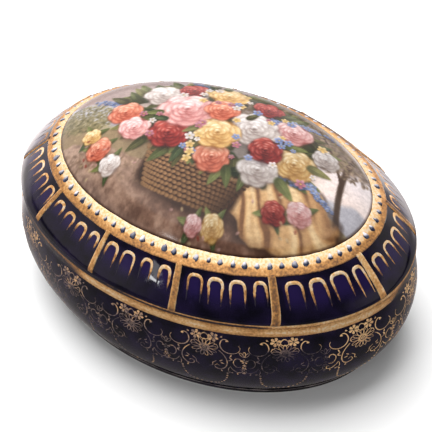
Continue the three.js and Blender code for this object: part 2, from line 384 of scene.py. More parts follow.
def lay_on_wall(piece, wall, walk, start, lean=0):
    """Wraps a flat piece on a wall: x runs round the rim from start, y down the wall and z out of it.

    A lean is how much further round the oval the piece's top is than its foot.
    """
    distances, angles = walk
    round_rim = distances[-1]
    lengths = np.array([length for length, z in wall])
    widths = np.array([half_width(length) for length, z in wall])
    heights = np.array([z for length, z in wall])
    counts = np.arange(len(wall))
    for vertex in piece.data.vertices:
        around, down, out = vertex.co
        angle = np.interp((start + around) % round_rim, distances, angles)
        angles_down = angle + lean * (0.5 - counts / counts[-1])
        line = np.stack([lengths * np.cos(angles_down), widths * np.sin(angles_down), heights], axis=1)
        reached = np.concatenate([[0], np.cumsum(np.linalg.norm(np.diff(line, axis=0), axis=1))])
        place = np.interp(down, reached, counts)
        spot = Vector([np.interp(place, counts, line[:, k]) for k in range(3)])
        k = min(int(place), len(wall) - 2)
        fall = Vector(line[k + 1] - line[k])
        turn = Vector((-lengths[k] * math.sin(angles_down[k]), widths[k] * math.cos(angles_down[k]), 0))
        vertex.co = spot + out * fall.cross(turn).normalized()


def brushed_lines(name, lines, flatness, roundness):
    """Closed mesh of tapered lines in the XY plane, in mm. A line is its points and its half-widths."""
    curve = bpy.data.curves.new(name, "CURVE")
    curve.dimensions = "3D"
    curve.bevel_depth = 1
    curve.bevel_resolution = roundness
    curve.use_fill_caps = True
    for points, half_widths in lines:
        spline = curve.splines.new("POLY")
        spline.points.add(len(points) - 1)
        for place, (x, y), half in zip(spline.points, points, half_widths):
            place.co = (x, y, 0, 1)
            place.radius = half
    piece = bpy.data.objects.new(name, curve)
    bpy.context.collection.objects.link(piece)
    bpy.ops.object.select_all(action="DESELECT")
    piece.select_set(True)
    bpy.context.view_layer.objects.active = piece
    bpy.ops.object.convert(target="MESH")
    piece = bpy.context.object
    bpy.ops.object.mode_set(mode="EDIT")
    bpy.ops.mesh.select_all(action="SELECT")
    bpy.ops.transform.resize(value=(mm, mm, flatness * mm), center_override=(0, 0, 0))
    bpy.ops.mesh.remove_doubles(threshold=0.002 * mm)
    bpy.ops.mesh.normals_make_consistent(inside=False)
    bpy.ops.object.mode_set(mode="OBJECT")
    bpy.ops.object.shade_smooth_by_angle(angle=math.radians(60))
    return piece


def stroke(corners, thick, bulb=0.0):
    """Tapered line that bends smoothly through its corners. It may start with a bulb."""
    corners = np.array(corners, dtype=float)
    behind = np.vstack([2 * corners[0] - corners[1], corners[:-1]])
    ahead = np.vstack([corners[1:], 2 * corners[-1] - corners[-2]])
    pulls = (ahead - behind) / 2
    points = []
    for k in range(len(corners) - 1):
        for t in (0, 0.25, 0.5, 0.75):
            leave = (1 - t) ** 2 * ((1 + 2 * t) * corners[k] + t * pulls[k])
            arrive = t * t * ((3 - 2 * t) * corners[k + 1] - (1 - t) * pulls[k + 1])
            points.append(tuple(leave + arrive))
    points.append(tuple(corners[-1]))
    half_widths = []
    for i in range(len(points)):
        share = i / (len(points) - 1)
        swelling = thick * (0.4 + 0.6 * math.sin(math.pi * min(1.0, 0.1 + share)))
        half_widths.append(max(swelling, bulb * (1 - 7 * share)))
    if bulb:
        half_widths[0] = bulb * 0.65
    return points, half_widths


def touch(x, y, angle, length, half):
    """Short filled stroke, pointed where it starts and round where it ends."""
    shares = [(0, 0.15), (0.3, 0.62), (0.65, 1), (0.88, 0.8), (1, 0.3)]
    points = [(x + math.cos(angle) * length * s, y + math.sin(angle) * length * s) for s, w in shares]
    return points, [half * w for s, w in shares]


def loop(x, y, angle, length, width, thick, steps=11):
    """Outlined petal from a root, or a ring where length and width are alike."""
    points = []
    for i in range(steps + 1):
        t = 2 * math.pi * i / steps
        along = length * (0.5 - 0.5 * math.cos(t))
        side = width / 2 * math.sin(t) * (0.75 + 0.5 * along / length)
        petal_x = x + along * math.cos(angle) - side * math.sin(angle)
        petal_y = y + along * math.sin(angle) + side * math.cos(angle)
        points.append((petal_x, petal_y))
    return points, [thick] * (steps + 1)


def blossom(x, y, size, petals, turn):
    """Small filled flower: a ring of round touches."""
    lines = []
    for k in range(petals):
        angle = turn + 2 * math.pi * k / petals
        root_x = x + 0.18 * size * math.cos(angle)
        root_y = y + 0.18 * size * math.sin(angle)
        lines.append(touch(root_x, root_y, angle, size * 0.86, size * 0.3))
    return lines


def mirrored(lines):
    """The lines and their mirror image in the motif's middle."""
    return lines + [([(-x, y) for x, y in points], half_widths) for points, half_widths in lines]


def festoon():
    """Dashes strung evenly along a deep hanging curve under the daisy."""
    dashes = 19
    curve = []
    for k in range(81):
        share = k / 40 - 1
        x = 9.6 * math.sin(share * 1.45) * (1 - 0.08 * abs(share))
        curve.append((x, 20.8 + 15.6 * math.cos(share * math.pi / 2) ** 0.8))
    runs = [0]
    for a, b in zip(curve, curve[1:]):
        runs.append(runs[-1] + math.dist(a, b))
    lines = []
    for k in range(dashes):
        places = [(k + shift) * runs[-1] / dashes for shift in (0.27, 0.5, 0.73)]
        xs = np.interp(places, runs, [x for x, y in curve])
        ys = np.interp(places, runs, [y for x, y in curve])
        lines.append((list(zip(xs.tolist(), ys.tolist())), [0.25, 0.38, 0.25]))
    return lines


hook = [(8.6, 3.5), (8.3, 2.7), (7.1, 2.7), (6.1, 4.1), (6.0, 6.2), (7.5, 8.4)]
hook += [(10.0, 9.2), (12.4, 8.3), (13.4, 6.4), (12.8, 4.9)]
tail = [(5.4, 8.2), (7.0, 9.9), (8.2, 12.2), (8.6, 14.9), (7.9, 17.6)]
tail += [(6.2, 19.2), (4.5, 18.8), (3.9, 17.4), (4.9, 16.3), (5.8, 17)]
side_curl = [(13.7, 12.9), (13.3, 11.7), (12.0, 11.6), (11.0, 13), (11.1, 15.1), (12.3, 16.7), (13.6, 16.4)]
low_curl = [(9.7, 16.6), (10.7, 18.6), (12.4, 20.2), (14.0, 19.9), (14.2, 18.5), (13.2, 18.1)]
half_motif = [
    stroke(hook, 0.22, bulb=0.74),
    stroke(tail, 0.2),
    stroke(side_curl, 0.18, bulb=0.36),
    stroke(low_curl, 0.17, bulb=0.2),
    stroke([(9.4, 17.2), (9.0, 19.2), (9.4, 21.3)], 0.16),
    stroke([(4.5, 14.3), (3.2, 15.6), (3.1, 17.2), (2.0, 18.1)], 0.15, bulb=0.24),
    stroke([(5.2, 6.9), (4.6, 5.6), (3.5, 5.9)], 0.15, bulb=0.3),
    touch(9.3, 11.2, 0.9, 1.9, 0.32),
    touch(8.9, 13.4, -0.5, 1.6, 0.28),
    touch(6.9, 13.2, 2.4, 1.5, 0.28),
    touch(7.6, 15.4, 3.4, 1.5, 0.26),
    touch(10.2, 9.6, 1.9, 1.5, 0.26),
    touch(6.3, 19.5, 1.3, 1.4, 0.26),
    touch(9.6, 20.6, 0.4, 1.3, 0.28),
    touch(12.4, 20.6, 1.4, 1.3, 0.26),
    touch(5.9, 1.9, -0.5, 1.0, 0.34),
]
half_motif += blossom(3.3, 2.3, 2.0, 6, 0.3)
motif_lines = mirrored(half_motif)
motif_lines.append(loop(0, 1, math.pi / 2, 3.0, 3.0, 0.17))
daisy = (0, 7.9)
daisy_petals = 13
heart = 1.1
for k in range(daisy_petals):
    petal_angle = 2 * math.pi * (k + 0.5) / daisy_petals + math.pi / 2
    reach = 4.7 + 0.35 * math.cos(2 * petal_angle)
    root = (daisy[0] + heart * math.cos(petal_angle), daisy[1] + heart * math.sin(petal_angle))
    motif_lines.append(loop(*root, petal_angle, reach - heart, 1.2, 0.105))
    motif_lines.append(touch(*root, petal_angle, 1.1, 0.13))
motif_lines.append(loop(daisy[0] - 0.7, daisy[1], 0, 1.4, 1.4, 0.16, steps=9))
motif_lines.append(touch(daisy[0] - 0.3, daisy[1], 0, 0.6, 0.3))
spray_x = 14.9
motif_lines += blossom(spray_x, 12.8, 1.3, 5, 0.9)
motif_lines += blossom(spray_x, 17.2, 1.0, 5, 0.3)
for lean in (-0.62, 0, 0.62):
    motif_lines.append(loop(spray_x + 0.3 * lean, 10.4, lean - math.pi / 2, 2.7, 0.95, 0.12))
    motif_lines.append(touch(spray_x + 0.3 * lean, 14.4, lean + math.pi / 2, 1.5, 0.24))
    motif_lines.append(touch(spray_x + 0.5 * lean, 19.4, lean + math.pi / 2, 1.7, 0.28))
motif_lines += festoon()
motif = brushed_lines("scroll_motif", motif_lines, flatness=0.32, roundness=0)
bowl_walk = rim_walk(first_motif, rim_width, rim_length)
motif_pitch = bowl_walk[0][-1] / motif_count
motif_wear_and_shade = [(0.1, 0.78), (0, 0.12), (0.08, 0.3), (0.2, 0.4), (0.1, 0.5)]
motif_wear_and_shade += [(0.25, 0.45), (0.1, 0.3), (0.2, 0.5), (0.1, 0.35), (0.25, 0.5)]
motif_wear_and_shade += [(0.15, 0.4), (0.3, 0.5), (0.45, 0.6), (0.4, 0.62), (0.3, 0.46)]
for number, (high_wear, low_wear_and_shade) in enumerate(motif_wear_and_shade):
    ornament = bpy.data.objects.new(f"bowl_scrollwork_{number + 1:02d}", motif.data.copy())
    bpy.context.collection.objects.link(ornament)
    shift = number * 40 * mm

    def motif_rub_and_shade(spot):
        # Painted shade: the gold dulls low on the wall, where the wall turns down towards the table.
        low = eased(spot.y, 3.5 * mm, 9 * mm) * (1 - 0.6 * eased(spot.y, 20 * mm, 25 * mm))
        along = spot.x + shift
        patch = wavering((along, spot.y, 0), 4 * mm) + wavering((along, spot.y, 1), 1.3 * mm)
        return high_wear + (low_wear_and_shade - high_wear) * low + 0.28 * patch

    wear_and_shade_gold(ornament, motif_rub_and_shade)
    lay_on_wall(ornament, bowl_wall, bowl_walk, motif_pitch * number)
    ornament.data.materials.append(scroll_gilding)
    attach(ornament, "base")
bpy.data.objects.remove(motif)


# Lid: one porcelain piece, domed, with a shoulder that falls to an upright rim.
# It is glazed cobalt outside and white inside, and the rim that sits on the bowl is bare.
# The dome and the border's place are sunk a little for what is laid on them.
dome_top = field_high.z
field_edge_z = dome_top - 18.4 * mm
border_edge_z = field_edge_z - 3.9 * mm
dome_flatness = 0.52
dome_slope = 1.07
dome_rise = 10.1 * mm
lid_wall = 4.2 * mm
lid_inside = lid_length - lid_wall
lid_band_low, lid_band_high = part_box("lid_rim_band")
shoulder_aim = (lid_length + 0.8 * mm, seam_z + 3.7 * mm)
shoulder_end = (lid_length, lid_band_high.z + 0.3 * mm)


def dome_curve(steps):
    """Points of the dome's curve from the axis to the edge of the painting."""
    ends = [(0, dome_top), (field_length * dome_flatness, dome_top)]
    ends.append((field_length - dome_rise / dome_slope, field_edge_z + dome_rise))
    ends.append((field_length, field_edge_z))
    points = []
    for i in range(steps + 1):
        t = i / steps
        shares = ((1 - t) ** 3, 3 * t * (1 - t) ** 2, 3 * t * t * (1 - t), t ** 3)
        points.append(tuple(sum(share * end[k] for share, end in zip(shares, ends)) for k in (0, 1)))
    return points


def sunk(points, depth):
    """A curve moved into the porcelain under it."""
    moved = []
    for i, (length, z) in enumerate(points):
        before = points[max(0, i - 1)]
        after = points[min(len(points) - 1, i + 1)]
        step = math.dist(before, after)
        outward = (after[1] - before[1]) / step * depth
        down = (after[0] - before[0]) / step * depth
        moved.append((length + outward, z - down))
    return [(max(0, length), z) for length, z in moved]


dome = dome_curve(36)
shoulder_start = (border_length, border_edge_z)
shoulder = [shoulder_start, *bow(shoulder_start, shoulder_aim, shoulder_end, 30)]
recess = 0.45 * mm
inside_top = lip_top + 0.6 * mm
inside_curve = sunk(dome + shoulder[1:], lid_wall)
lid_rings = [(length, z) for length, z in inside_curve if length < lid_inside and z > inside_top]
lid_rings += [(lid_inside, inside_top - 0.3 * mm), (lid_inside, seam_z + 0.5 * mm)]
lid_rings += [(lid_inside + 0.4 * mm, seam_z), (lid_length - 0.5 * mm, seam_z)]
lid_rings += [(lid_length - 0.12 * mm, seam_z + 0.15 * mm), (lid_length, seam_z + 0.5 * mm), shoulder_end]
lid_rings += list(reversed(shoulder))[1:]
lid_rings += list(reversed(sunk([dome[-1], shoulder[0]], recess)))
lid_rings += list(reversed(sunk(dome, recess)))[1:]
lid = turned_oval("porcelain_lid", lid_rings)
lid_finishes = [cobalt, white_glaze, biscuit]
for finish in lid_finishes:
    lid.data.materials.append(finish)
for face in lid.data.polygons:
    faces_in = face.normal.x * face.center.x + face.normal.y * face.center.y < 0
    if face.center.z < seam_z + 0.3 * mm or (faces_in and face.center.z < inside_top - 0.2 * mm):
        face.material_index = lid_finishes.index(biscuit)
    elif faces_in or face.normal.z < -0.5:
        face.material_index = lid_finishes.index(white_glaze)
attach(lid, "lid")
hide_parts("lid_shell")


# Gilt line on the lid's rim: a narrow band of gold that meets the bowl's band when the box is shut.
# It is dark brown nearly all round, with a thin line of gold along its top as painted highlight.
lid_band = gilt_band("lid_rim_gilding", lid_length, lid_band_low.z, lid_band_high.z)


def lid_band_dark_and_highlight(spot):
    place = degrees_round(spot)
    bright = eased(place, -60, -50) * (1 - eased(place, -10, 4))
    down = (lid_band_high.z - spot.z) / (lid_band_high.z - lid_band_low.z)
    # Painted highlight: a thin line along the band's top keeps its gold, and below it the band goes dark.
    darkened = 0.3 + 1.0 * eased(down, 0.12, 0.35) + 0.7 * eased(-place, 84, 104)
    kept = 0.1 + 0.3 * eased(down, 0.5, 0.9)
    return darkened + (kept - darkened) * bright + 0.25 * wavering(spot, 12 * mm) + 0.2 * wavering(spot, 3 * mm)


wear_and_shade_gold(lid_band, lid_band_dark_and_highlight)
lid_band.data.materials.append(gilding)
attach(lid_band, "lid")
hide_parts("lid_rim_band")


# Twelve gilt bars down the shoulder: raised paste under gold, laid by hand, so the panels differ in width.
# Their edges are burnished bright and the middles are rubbed brown.
panel_count = 12
panel_widths = [35.3, 37, 40, 42.6, 36.5, 36.9, 36.9, 36.9, 36.9, 36.9, 36.9, 36.9]
bar_widths = [2.5, 2.4, 2.9, 3.4, 3.0, 2.7, 2.8, 2.6, 2.7, 2.9, 2.7, 2.6]
bar_leans = [-0.3, -0.4, 0.2, 1.7, 0.2, 1.2, 0.4, -0.3, 0.2, -0.2, 0.4, 0.1]
bar_gaps = [2.4, 2.1, 0.5, 0.2, 0.2, 1.2, 0.6, 0.3, 0.4, 0.3, 0.9, 1.8]
bar_rubs = [0.4, 0.3, 0.48, 0.56, 0.16, 0.6, 0.5, 0.4, 0.6, 0.5, 0.4, 0.95]
first_bar = math.radians(-131.4)
bar_height = 0.42 * mm
bar_lift = 0.1 * mm
bar_thickness = 0.4 * mm
bar_hollow = 0.08 * mm
lid_walk = rim_walk(first_bar, half_width(lid_length), lid_length)
panel_scale = lid_walk[0][-1] / sum(panel_widths)
bar_starts = [panel_scale * sum(panel_widths[:number]) for number in range(panel_count)]
bar_tuck = 0.6 * mm
tuck_up = bar_tuck * (field_edge_z - border_edge_z) / border_across
bar_wall = [(border_length - bar_tuck, border_edge_z + tuck_up), *shoulder]
bar_fall = sum(math.dist(a, b) for a, b in zip(bar_wall, bar_wall[1:]))


def laid_bar(name, width, length, seed):
    """Flat bar with a crowned top and slightly uneven edges, from under the border down towards the rim."""
    bpy.ops.object.select_all(action="DESELECT")
    bpy.ops.mesh.primitive_grid_add(x_subdivisions=8, y_subdivisions=44, size=1)
    piece = bpy.context.object
    piece.name = name
    bpy.ops.object.mode_set(mode="EDIT")
    bpy.ops.mesh.select_all(action="SELECT")
    bpy.ops.transform.resize(value=(width, length, 1), center_override=(0, 0, 0))
    bpy.ops.transform.translate(value=(0, length / 2, bar_lift))
    bpy.ops.mesh.extrude_region_move(TRANSFORM_OT_translate={"value": (0, 0, -bar_thickness)})
    bpy.ops.mesh.select_all(action="SELECT")
    bpy.ops.mesh.normals_make_consistent(inside=False)
    bpy.ops.object.mode_set(mode="OBJECT")
    for vertex in piece.data.vertices:
        side = 2 * vertex.co.x / width
        uneven = wavering((seed, vertex.co.y + math.copysign(0.2, side), 0), 4 * mm)
        vertex.co.x += 0.12 * mm * uneven * abs(side)
        if vertex.co.z > 0:
            end_round = eased(length - vertex.co.y, 0, 0.5 * mm)
            vertex.co.z = bar_height * (max(0.0, 1 - side ** 4) * end_round) ** 0.5 + 0.03 * mm
            vertex.co.z -= bar_hollow * (1 - side ** 2) * end_round
    bpy.ops.object.shade_smooth_by_angle(angle=math.radians(50))
    return piece


for number, start in enumerate(bar_starts):
    width = bar_widths[number] * mm
    length = bar_fall - bar_gaps[number] * mm
    bar = laid_bar(f"shoulder_bar_{number + 1:02d}", width, length, number)

    def bar_wear(spot):
        side = min(1.0, abs(2 * spot.x / width))
        patch = wavering((spot.x, spot.y, number), 3.5 * mm)
        patch += 0.6 * wavering((spot.x, spot.y, number), 1.2 * mm)
        end = eased(length - spot.y, 2.5 * mm, 0)
        return bar_rubs[number] * (1 - side ** 2.5) + 0.04 + 0.18 * patch + 0.25 * end

    wear_and_shade_gold(bar, bar_wear)
    lay_on_wall(bar, bar_wall, lid_walk, start, math.radians(bar_leans[number]))
    bar.data.materials.append(gilding)
    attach(bar, "lid")
    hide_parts(f"lid_bar_{number + 1:02d}")


# Gilt arches: four in each panel of the shoulder, drawn with a full brush in raised gold.
# Each has a broad, rather flat crown and legs that thin out and fade as they run down.
# The glaze pooled inside them, so it is deeper and more violet there.
arches_in_panel = 4
crown_rise = 3.1
arch_depth = 0.16
arch_pitches = [0.234, 0.234, 0.2257, 0.2395, 0.236, 0.234, 0.232, 0.236, 0.234, 0.232, 0.236, 0.234]
arch_offsets = [0.7, 0.64, 0.83, 0.82, 0.74, 0.72, 0.76, 0.7, 0.72, 0.78, 0.7, 0.72]
crown_downs = [2.2, 1.8, 1.7, 1.9, 3.4, 2.6, 1.9, 1.7, 2.1, 1.8, 2.0, 2.2]
leg_lengths = [7.2, 9.2, 10.4, 10.8, 10.2, 10.6, 9.8, 10.4, 10.9, 9.6, 10.5, 11.2]
left_leg_losses = [0.6, 0.7, 0.15, 0, 0, 0.1, 0.2, 0, 0.3, 0, 0.1, 0]
arch_rubs = [0, 0, 0, 0, 0, 0.3, 0.15, 0, 0.1, 0.1, 0.4, 0.15]
pools = []


def arch(width, crown_down, leg_end, lean, thick):
    """Flat arch about its own middle, in mm: up one leg, over the crown and down the other."""
    half = width / 2 - thick
    shoulder_down = crown_down + thick + crown_rise
    leg_steps = 10
    crown_steps = 14
    points = []
    half_widths = []
    for i in range(leg_steps):
        share = i / leg_steps
        points.append((-half * (0.93 + 0.07 * share) + lean, leg_end + (shoulder_down - leg_end) * share))
        half_widths.append(thick * (0.12 + 0.68 * share ** 0.7))
    for i in range(crown_steps + 1):
        t = math.pi * i / crown_steps
        side = -half * math.copysign(abs(math.cos(t)) ** 0.72, math.cos(t))
        rise = math.sin(t) ** 0.75
        points.append((side, shoulder_down - crown_rise * rise))
        half_widths.append(thick * (0.8 + 0.26 * rise))
    for i in range(1, leg_steps + 1):
        share = i / leg_steps
        points.append((half * (1 - 0.07 * share) - lean, shoulder_down + (leg_end - shoulder_down) * share))
        half_widths.append(thick * (0.8 - 0.68 * share ** 1.2))
    return points, half_widths


panel_ends = [*bar_starts[1:], lid_walk[0][-1]]
for panel in range(panel_count):
    start = bar_starts[panel]
    pitch = arch_pitches[panel] * (panel_ends[panel] - start) / mm
    for k in range(arches_in_panel):
        name = f"panel_arch_{panel + 1:02d}_{k + 1}"
        chance = [noise.noise(Vector((panel * 7.3, k * 3.7, j * 5.1))) for j in range(5)]
        long_one = panel == 3 and k == arches_in_panel - 1
        narrower = 0.2 if long_one else 0.07 if k == arches_in_panel - 1 else 0
        width = pitch * (0.76 + 0.12 * chance[0] - narrower)
        crown_down = crown_downs[panel] + 0.5 * chance[1] + (0.8 if long_one else 0)
        leg_end = crown_down + (12.6 if long_one else leg_lengths[panel] + 3 * chance[1])
        shape = arch(width, crown_down, leg_end, 0.35 * chance[2], 0.64 + 0.2 * chance[3])
        gilt_arch = brushed_lines(name, [shape], flatness=arch_depth, roundness=1)

        def arch_wear(spot):
            low = max(0.0, (spot.y / mm - crown_down - 2) / (leg_end - crown_down - 2))
            patch = wavering((spot.x, spot.y, panel + k), 2.6 * mm)
            patch += 0.7 * wavering((spot.x, spot.y, k), 1.1 * mm)
            left_loss = left_leg_losses[panel] * low ** 0.6 if spot.x < 0 else 0
            down_rub = (0.5 if long_one else 1.05) * low ** 1.2
            return 0.34 * patch - 0.03 + arch_rubs[panel] + down_rub + 0.25 * chance[4] + left_loss

        wear_and_shade_gold(gilt_arch, arch_wear)
        shift = -1.1 if long_one else 0.4 * chance[4]
        middle = start + ((k + arch_offsets[panel]) * pitch + shift) * mm
        pools.append((middle, width / 2 * mm, crown_down * mm, leg_end * mm))
        place = (k + arch_offsets[panel]) * arch_pitches[panel]
        next_lean = bar_leans[(panel + 1) % panel_count]
        top_lean = bar_leans[panel] + (next_lean - bar_leans[panel]) * place
        lay_on_wall(gilt_arch, shoulder, lid_walk, middle, math.radians(top_lean))
        gilt_arch.data.materials.append(gilding)
        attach(gilt_arch, "lid")

shoulder_lengths = np.array([length for length, z in shoulder])
shoulder_heights = np.array([z for length, z in shoulder])
shoulder_steps = np.hypot(np.diff(shoulder_lengths), np.diff(shoulder_heights))
shoulder_falls = np.concatenate([[0], np.cumsum(shoulder_steps)])
pooled = lid.data.attributes.new("deep_glaze", "FLOAT", "POINT")
for vertex, place in zip(lid.data.vertices, pooled.data):
    if vertex.co.z > border_edge_z or vertex.co.z < shoulder_end[1]:
        continue
    length = float(np.interp(-vertex.co.z, -shoulder_heights, shoulder_lengths))
    down = float(np.interp(-vertex.co.z, -shoulder_heights, shoulder_falls))
    angle = math.atan2(vertex.co.y / half_width(length), vertex.co.x / length)
    around = float(np.interp((angle - first_bar) % (2 * math.pi) + first_bar, lid_walk[1], lid_walk[0]))
    for middle, half, crown, foot in pools:
        side = abs(around - middle) / half
        if side < 1.2:
            inside = 1 - eased(side, 0.5, 1.2)
            begun = eased(down, crown, crown + 3 * mm)
            ended = eased(down, foot - 5 * mm, foot + 3 * mm)
            place.value += inside * begun * (1 - ended)


# Painting's border: a flat raised ring of gold between the painting and the shoulder, brushed on by hand.
# Painted highlight makes its inner part bright, its edges waver a little, and painted shade darkens its
# outer part and its far side.
border_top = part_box("picture_border")[1].z
border_crown = 0.32 * mm
border_under = 0.3 * mm
edge_tilt = math.atan2(field_edge_z - border_edge_z, border_across)
edge_up = (math.sin(edge_tilt), math.cos(edge_tilt))
far_side = Vector((-0.35, 0.94, 0))


def across_border(share, height):
    """Point of the border's section: a share of the way out, and a height above the surface."""
    length = field_length + share * border_across
    z = field_edge_z + share * (border_edge_z - field_edge_z)
    return length + edge_up[0] * height, z + edge_up[1] * height


section = [(0.01, -border_under), (0.99, -border_under), (0.995, 0.02 * mm), (0.975, 0.13 * mm)]
section += [(0.92, 0.18 * mm), (0.84, 0.23 * mm), (0.74, 0.28 * mm), (0.62, 0.31 * mm), (0.48, 0.32 * mm)]
section += [(0.34, 0.31 * mm), (0.2, 0.26 * mm), (0.1, 0.2 * mm), (0.04, 0.12 * mm), (0.01, 0.02 * mm)]
section.append(section[0])
border = turned_oval("painting_border", [across_border(share, height) for share, height in section])


def border_share(spot):
    """How far out across the border a point is, 0 to 1."""
    return (border_top - spot.z) / (border_top - border_edge_z)


for vertex in border.data.vertices:
    share = border_share(vertex.co)
    x, y = vertex.co.xy
    wave = wavering((x, y, 0), 5 * mm) + 0.6 * wavering((x, y, 1), 1.9 * mm)
    push = 0.2 * mm * wave * (2 * share - 1)
    outward = Vector((x, y, 0)).normalized()
    vertex.co += push * (outward - Vector((0, 0, math.tan(edge_tilt))))
    vertex.co.z += 0.05 * mm * wavering(vertex.co, 2.2 * mm)


def border_wear_and_shade(spot):
    share = border_share(spot)
    # Painted highlight on the inner part, painted shade on the outer part and along the far side, and wear
    # in small patches.
    outer_shade = 0.56 * eased(share, 0.25, 0.6) + 0.25 * eased(share, 0.88, 1)
    outward = Vector((spot.x * field_width, spot.y * field_length, 0)).normalized()
    outer_shade += 0.4 * eased(outward.dot(far_side), 0.35, 0.8)
    return outer_shade - 0.15 + 0.16 * wavering(spot, 5 * mm) + 0.1 * wavering(spot, 1.6 * mm)


wear_and_shade_gold(border, border_wear_and_shade)
border.data.materials.append(gilding)
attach(border, "lid")
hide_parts("picture_border")


# Eighty enamel beads along the border: drops of blue-grey enamel set by hand on the gold, fired glossy.
# No two are quite alike in size or place, those along the far edge are smaller, flatter and paler, and each
# has a painted highlight on its upper side.
bead_count = 80
bead_place = 0.43
bead_size = 1.08
bead_enamel, shader = new_material("bead_enamel", roughness=0.08, ior=1.56)
bead_tones = [(0.3, (0.005, 0.006, 0.02)), (0.52, (0.02, 0.027, 0.062)), (0.72, (0.13, 0.155, 0.22))]
drops = ramp(bead_enamel, clouds(bead_enamel, 420, 2), bead_tones)
# Painted highlight: a pale patch laid over each bead's upper side.
highlighted = laid_over(bead_enamel, drops, "bead_painted_highlight", (0.62, 0.6, 0.66))
bead_enamel.node_tree.links.new(highlighted, shader.inputs["Base Color"])
relief(bead_enamel, clouds(bead_enamel, 900, 2), depth=0.2 * mm, strength=0.3)
highlight_side = Vector((-0.45, 0.3, 0.84))

bead_length, bead_z = across_border(bead_place, border_crown)
bead_width = half_width(bead_length)
bead_walk = rim_walk(0, bead_width, bead_length)
bead_pitch = bead_walk[0][-1] / bead_count
beads = []
for number in range(bead_count):
    chance = [noise.noise(Vector((number * 1.7, j * 9.3, 2.2))) for j in range(5)]
    angle = float(np.interp(bead_pitch * (number + 0.16 * chance[0]), *bead_walk))
    size = bead_size * (1 + 0.4 * chance[1]) * mm
    bpy.ops.object.select_all(action="DESELECT")
    bpy.ops.mesh.primitive_ico_sphere_add(subdivisions=2, radius=1)
    bead = bpy.context.object
    bpy.ops.object.shade_smooth()
    outward = Vector((math.cos(angle) * field_width, math.sin(angle) * field_length, 0)).normalized()
    up = (outward * edge_up[0] + Vector((0, 0, edge_up[1]))).normalized()
    along = up.cross(outward).normalized()
    across = along.cross(up)
    middle = Vector((bead_length * math.cos(angle), bead_width * math.sin(angle), bead_z))
    middle += across * 0.25 * chance[2] * mm
    faint = eased(outward.dot(far_side), 0.25, 0.7)
    size *= 1 - 0.25 * faint
    bead_painted_highlight = bead.data.attributes.new("bead_painted_highlight", "FLOAT", "POINT")
    for vertex, pale in zip(bead.data.vertices, bead_painted_highlight.data):
        x, y, z = vertex.co
        drawn = 1 + 0.5 * noise.noise(vertex.co * 1.5 + Vector((number, 0, 0)))
        tall = (0.5 - 0.25 * faint) * z if z > 0 else 0.3 * z
        facing = (along * x + across * y + up * z).dot(highlight_side)
        # Painted highlight: pale where the bead faces up, back and left; the far beads are painted paler
        # all over.
        pale.value = (0.7 + 0.9 * chance[4]) * eased(facing + 0.5 * chance[3], 0.2, 0.75)
        pale.value = max(pale.value, 0.75 * faint)
        narrowed = (0.9 + 0.1 * chance[3]) * (1 + 0.45 * y)
        vertex.co = middle + size * drawn * (along * x * narrowed + across * y * 1.25 + up * tall)
    beads.append(bead)
bpy.ops.object.select_all(action="DESELECT")
for bead in beads:
    bead.select_set(True)
bpy.context.view_layer.objects.active = beads[0]
bpy.ops.object.join()
bead_row = bpy.context.object
bead_row.name = "enamel_beads"
bead_row.data.materials.append(bead_enamel)
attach(bead_row, "lid")
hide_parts("picture_border")


# Painting: a basket of garden flowers on a ledge beside a golden cloth, in overglaze enamels on the dome.
# It is painted touch by touch on a flat canvas, whose colours the dome's fine mesh then takes up.
# The mesh is a thin shell, closed underneath, that lies in the lid's recess.
canvas_step = 0.22
canvas_length = 66
canvas_width = 44.5
columns = int(2 * canvas_length / canvas_step)
rows = int(2 * canvas_width / canvas_step)
across, upward = np.meshgrid(
    (np.arange(columns) + 0.5) * canvas_step - canvas_length,
    (np.arange(rows) + 0.5) * canvas_step - canvas_width,
)
canvas = np.zeros((rows, columns, 3))
sun = math.radians(125)


def mottle(patch, seed):
    """Smooth chance field over the canvas, -1 to 1, with patches of a size in mm."""
    shape = (int(2 * canvas_width / patch) + 3, int(2 * canvas_length / patch) + 3)
    coarse = np.random.default_rng(seed).uniform(-1, 1, shape)
    y = (upward + canvas_width) / patch
    x = (across + canvas_length) / patch
    row = y.astype(int)
    column = x.astype(int)
    up = (y - row) ** 2 * (3 - 2 * (y - row))
    along = (x - column) ** 2 * (3 - 2 * (x - column))
    low = coarse[row, column] * (1 - along) + coarse[row, column + 1] * along
    high = coarse[row + 1, column] * (1 - along) + coarse[row + 1, column + 1] * along
    return low * (1 - up) + high * up


def blend(first, second, share):
    """Colour between two colours."""
    return np.asarray(first) + (np.asarray(second) - np.asarray(first)) * share


def wash(mask, colour):
    """Lays a colour over the canvas through a mask."""
    canvas[:] += np.clip(mask, 0, 1)[..., None] * (np.asarray(colour) - canvas)


def daub(x, y, turn, long, wide, root, tip, strength=1.0, edge=0.35, point=0.0):
    """One touch of the brush: an oval, or one drawn out to a point, with a colour from root to tip."""
    reach = max(long, wide) * 1.15
    left = max(0, int((x - reach + canvas_length) / canvas_step))
    right_side = min(columns, int((x + reach + canvas_length) / canvas_step) + 2)
    low = max(0, int((y - reach + canvas_width) / canvas_step))
    high = min(rows, int((y + reach + canvas_width) / canvas_step) + 2)
    if left >= right_side or low >= high:
        return
    part = (slice(low, high), slice(left, right_side))
    dx = across[part] - x
    dy = upward[part] - y
    u = (dx * math.cos(turn) + dy * math.sin(turn)) / long
    v = (dy * math.cos(turn) - dx * math.sin(turn)) / (wide * np.clip(1 - point * u, 0.12, None))
    mask = np.clip((1 - np.hypot(u, v)) / edge, 0, 1)[..., None] * strength
    canvas[part] += mask * (blend(root, tip, np.clip(0.5 + 0.5 * u, 0, 1)[..., None]) - canvas[part])


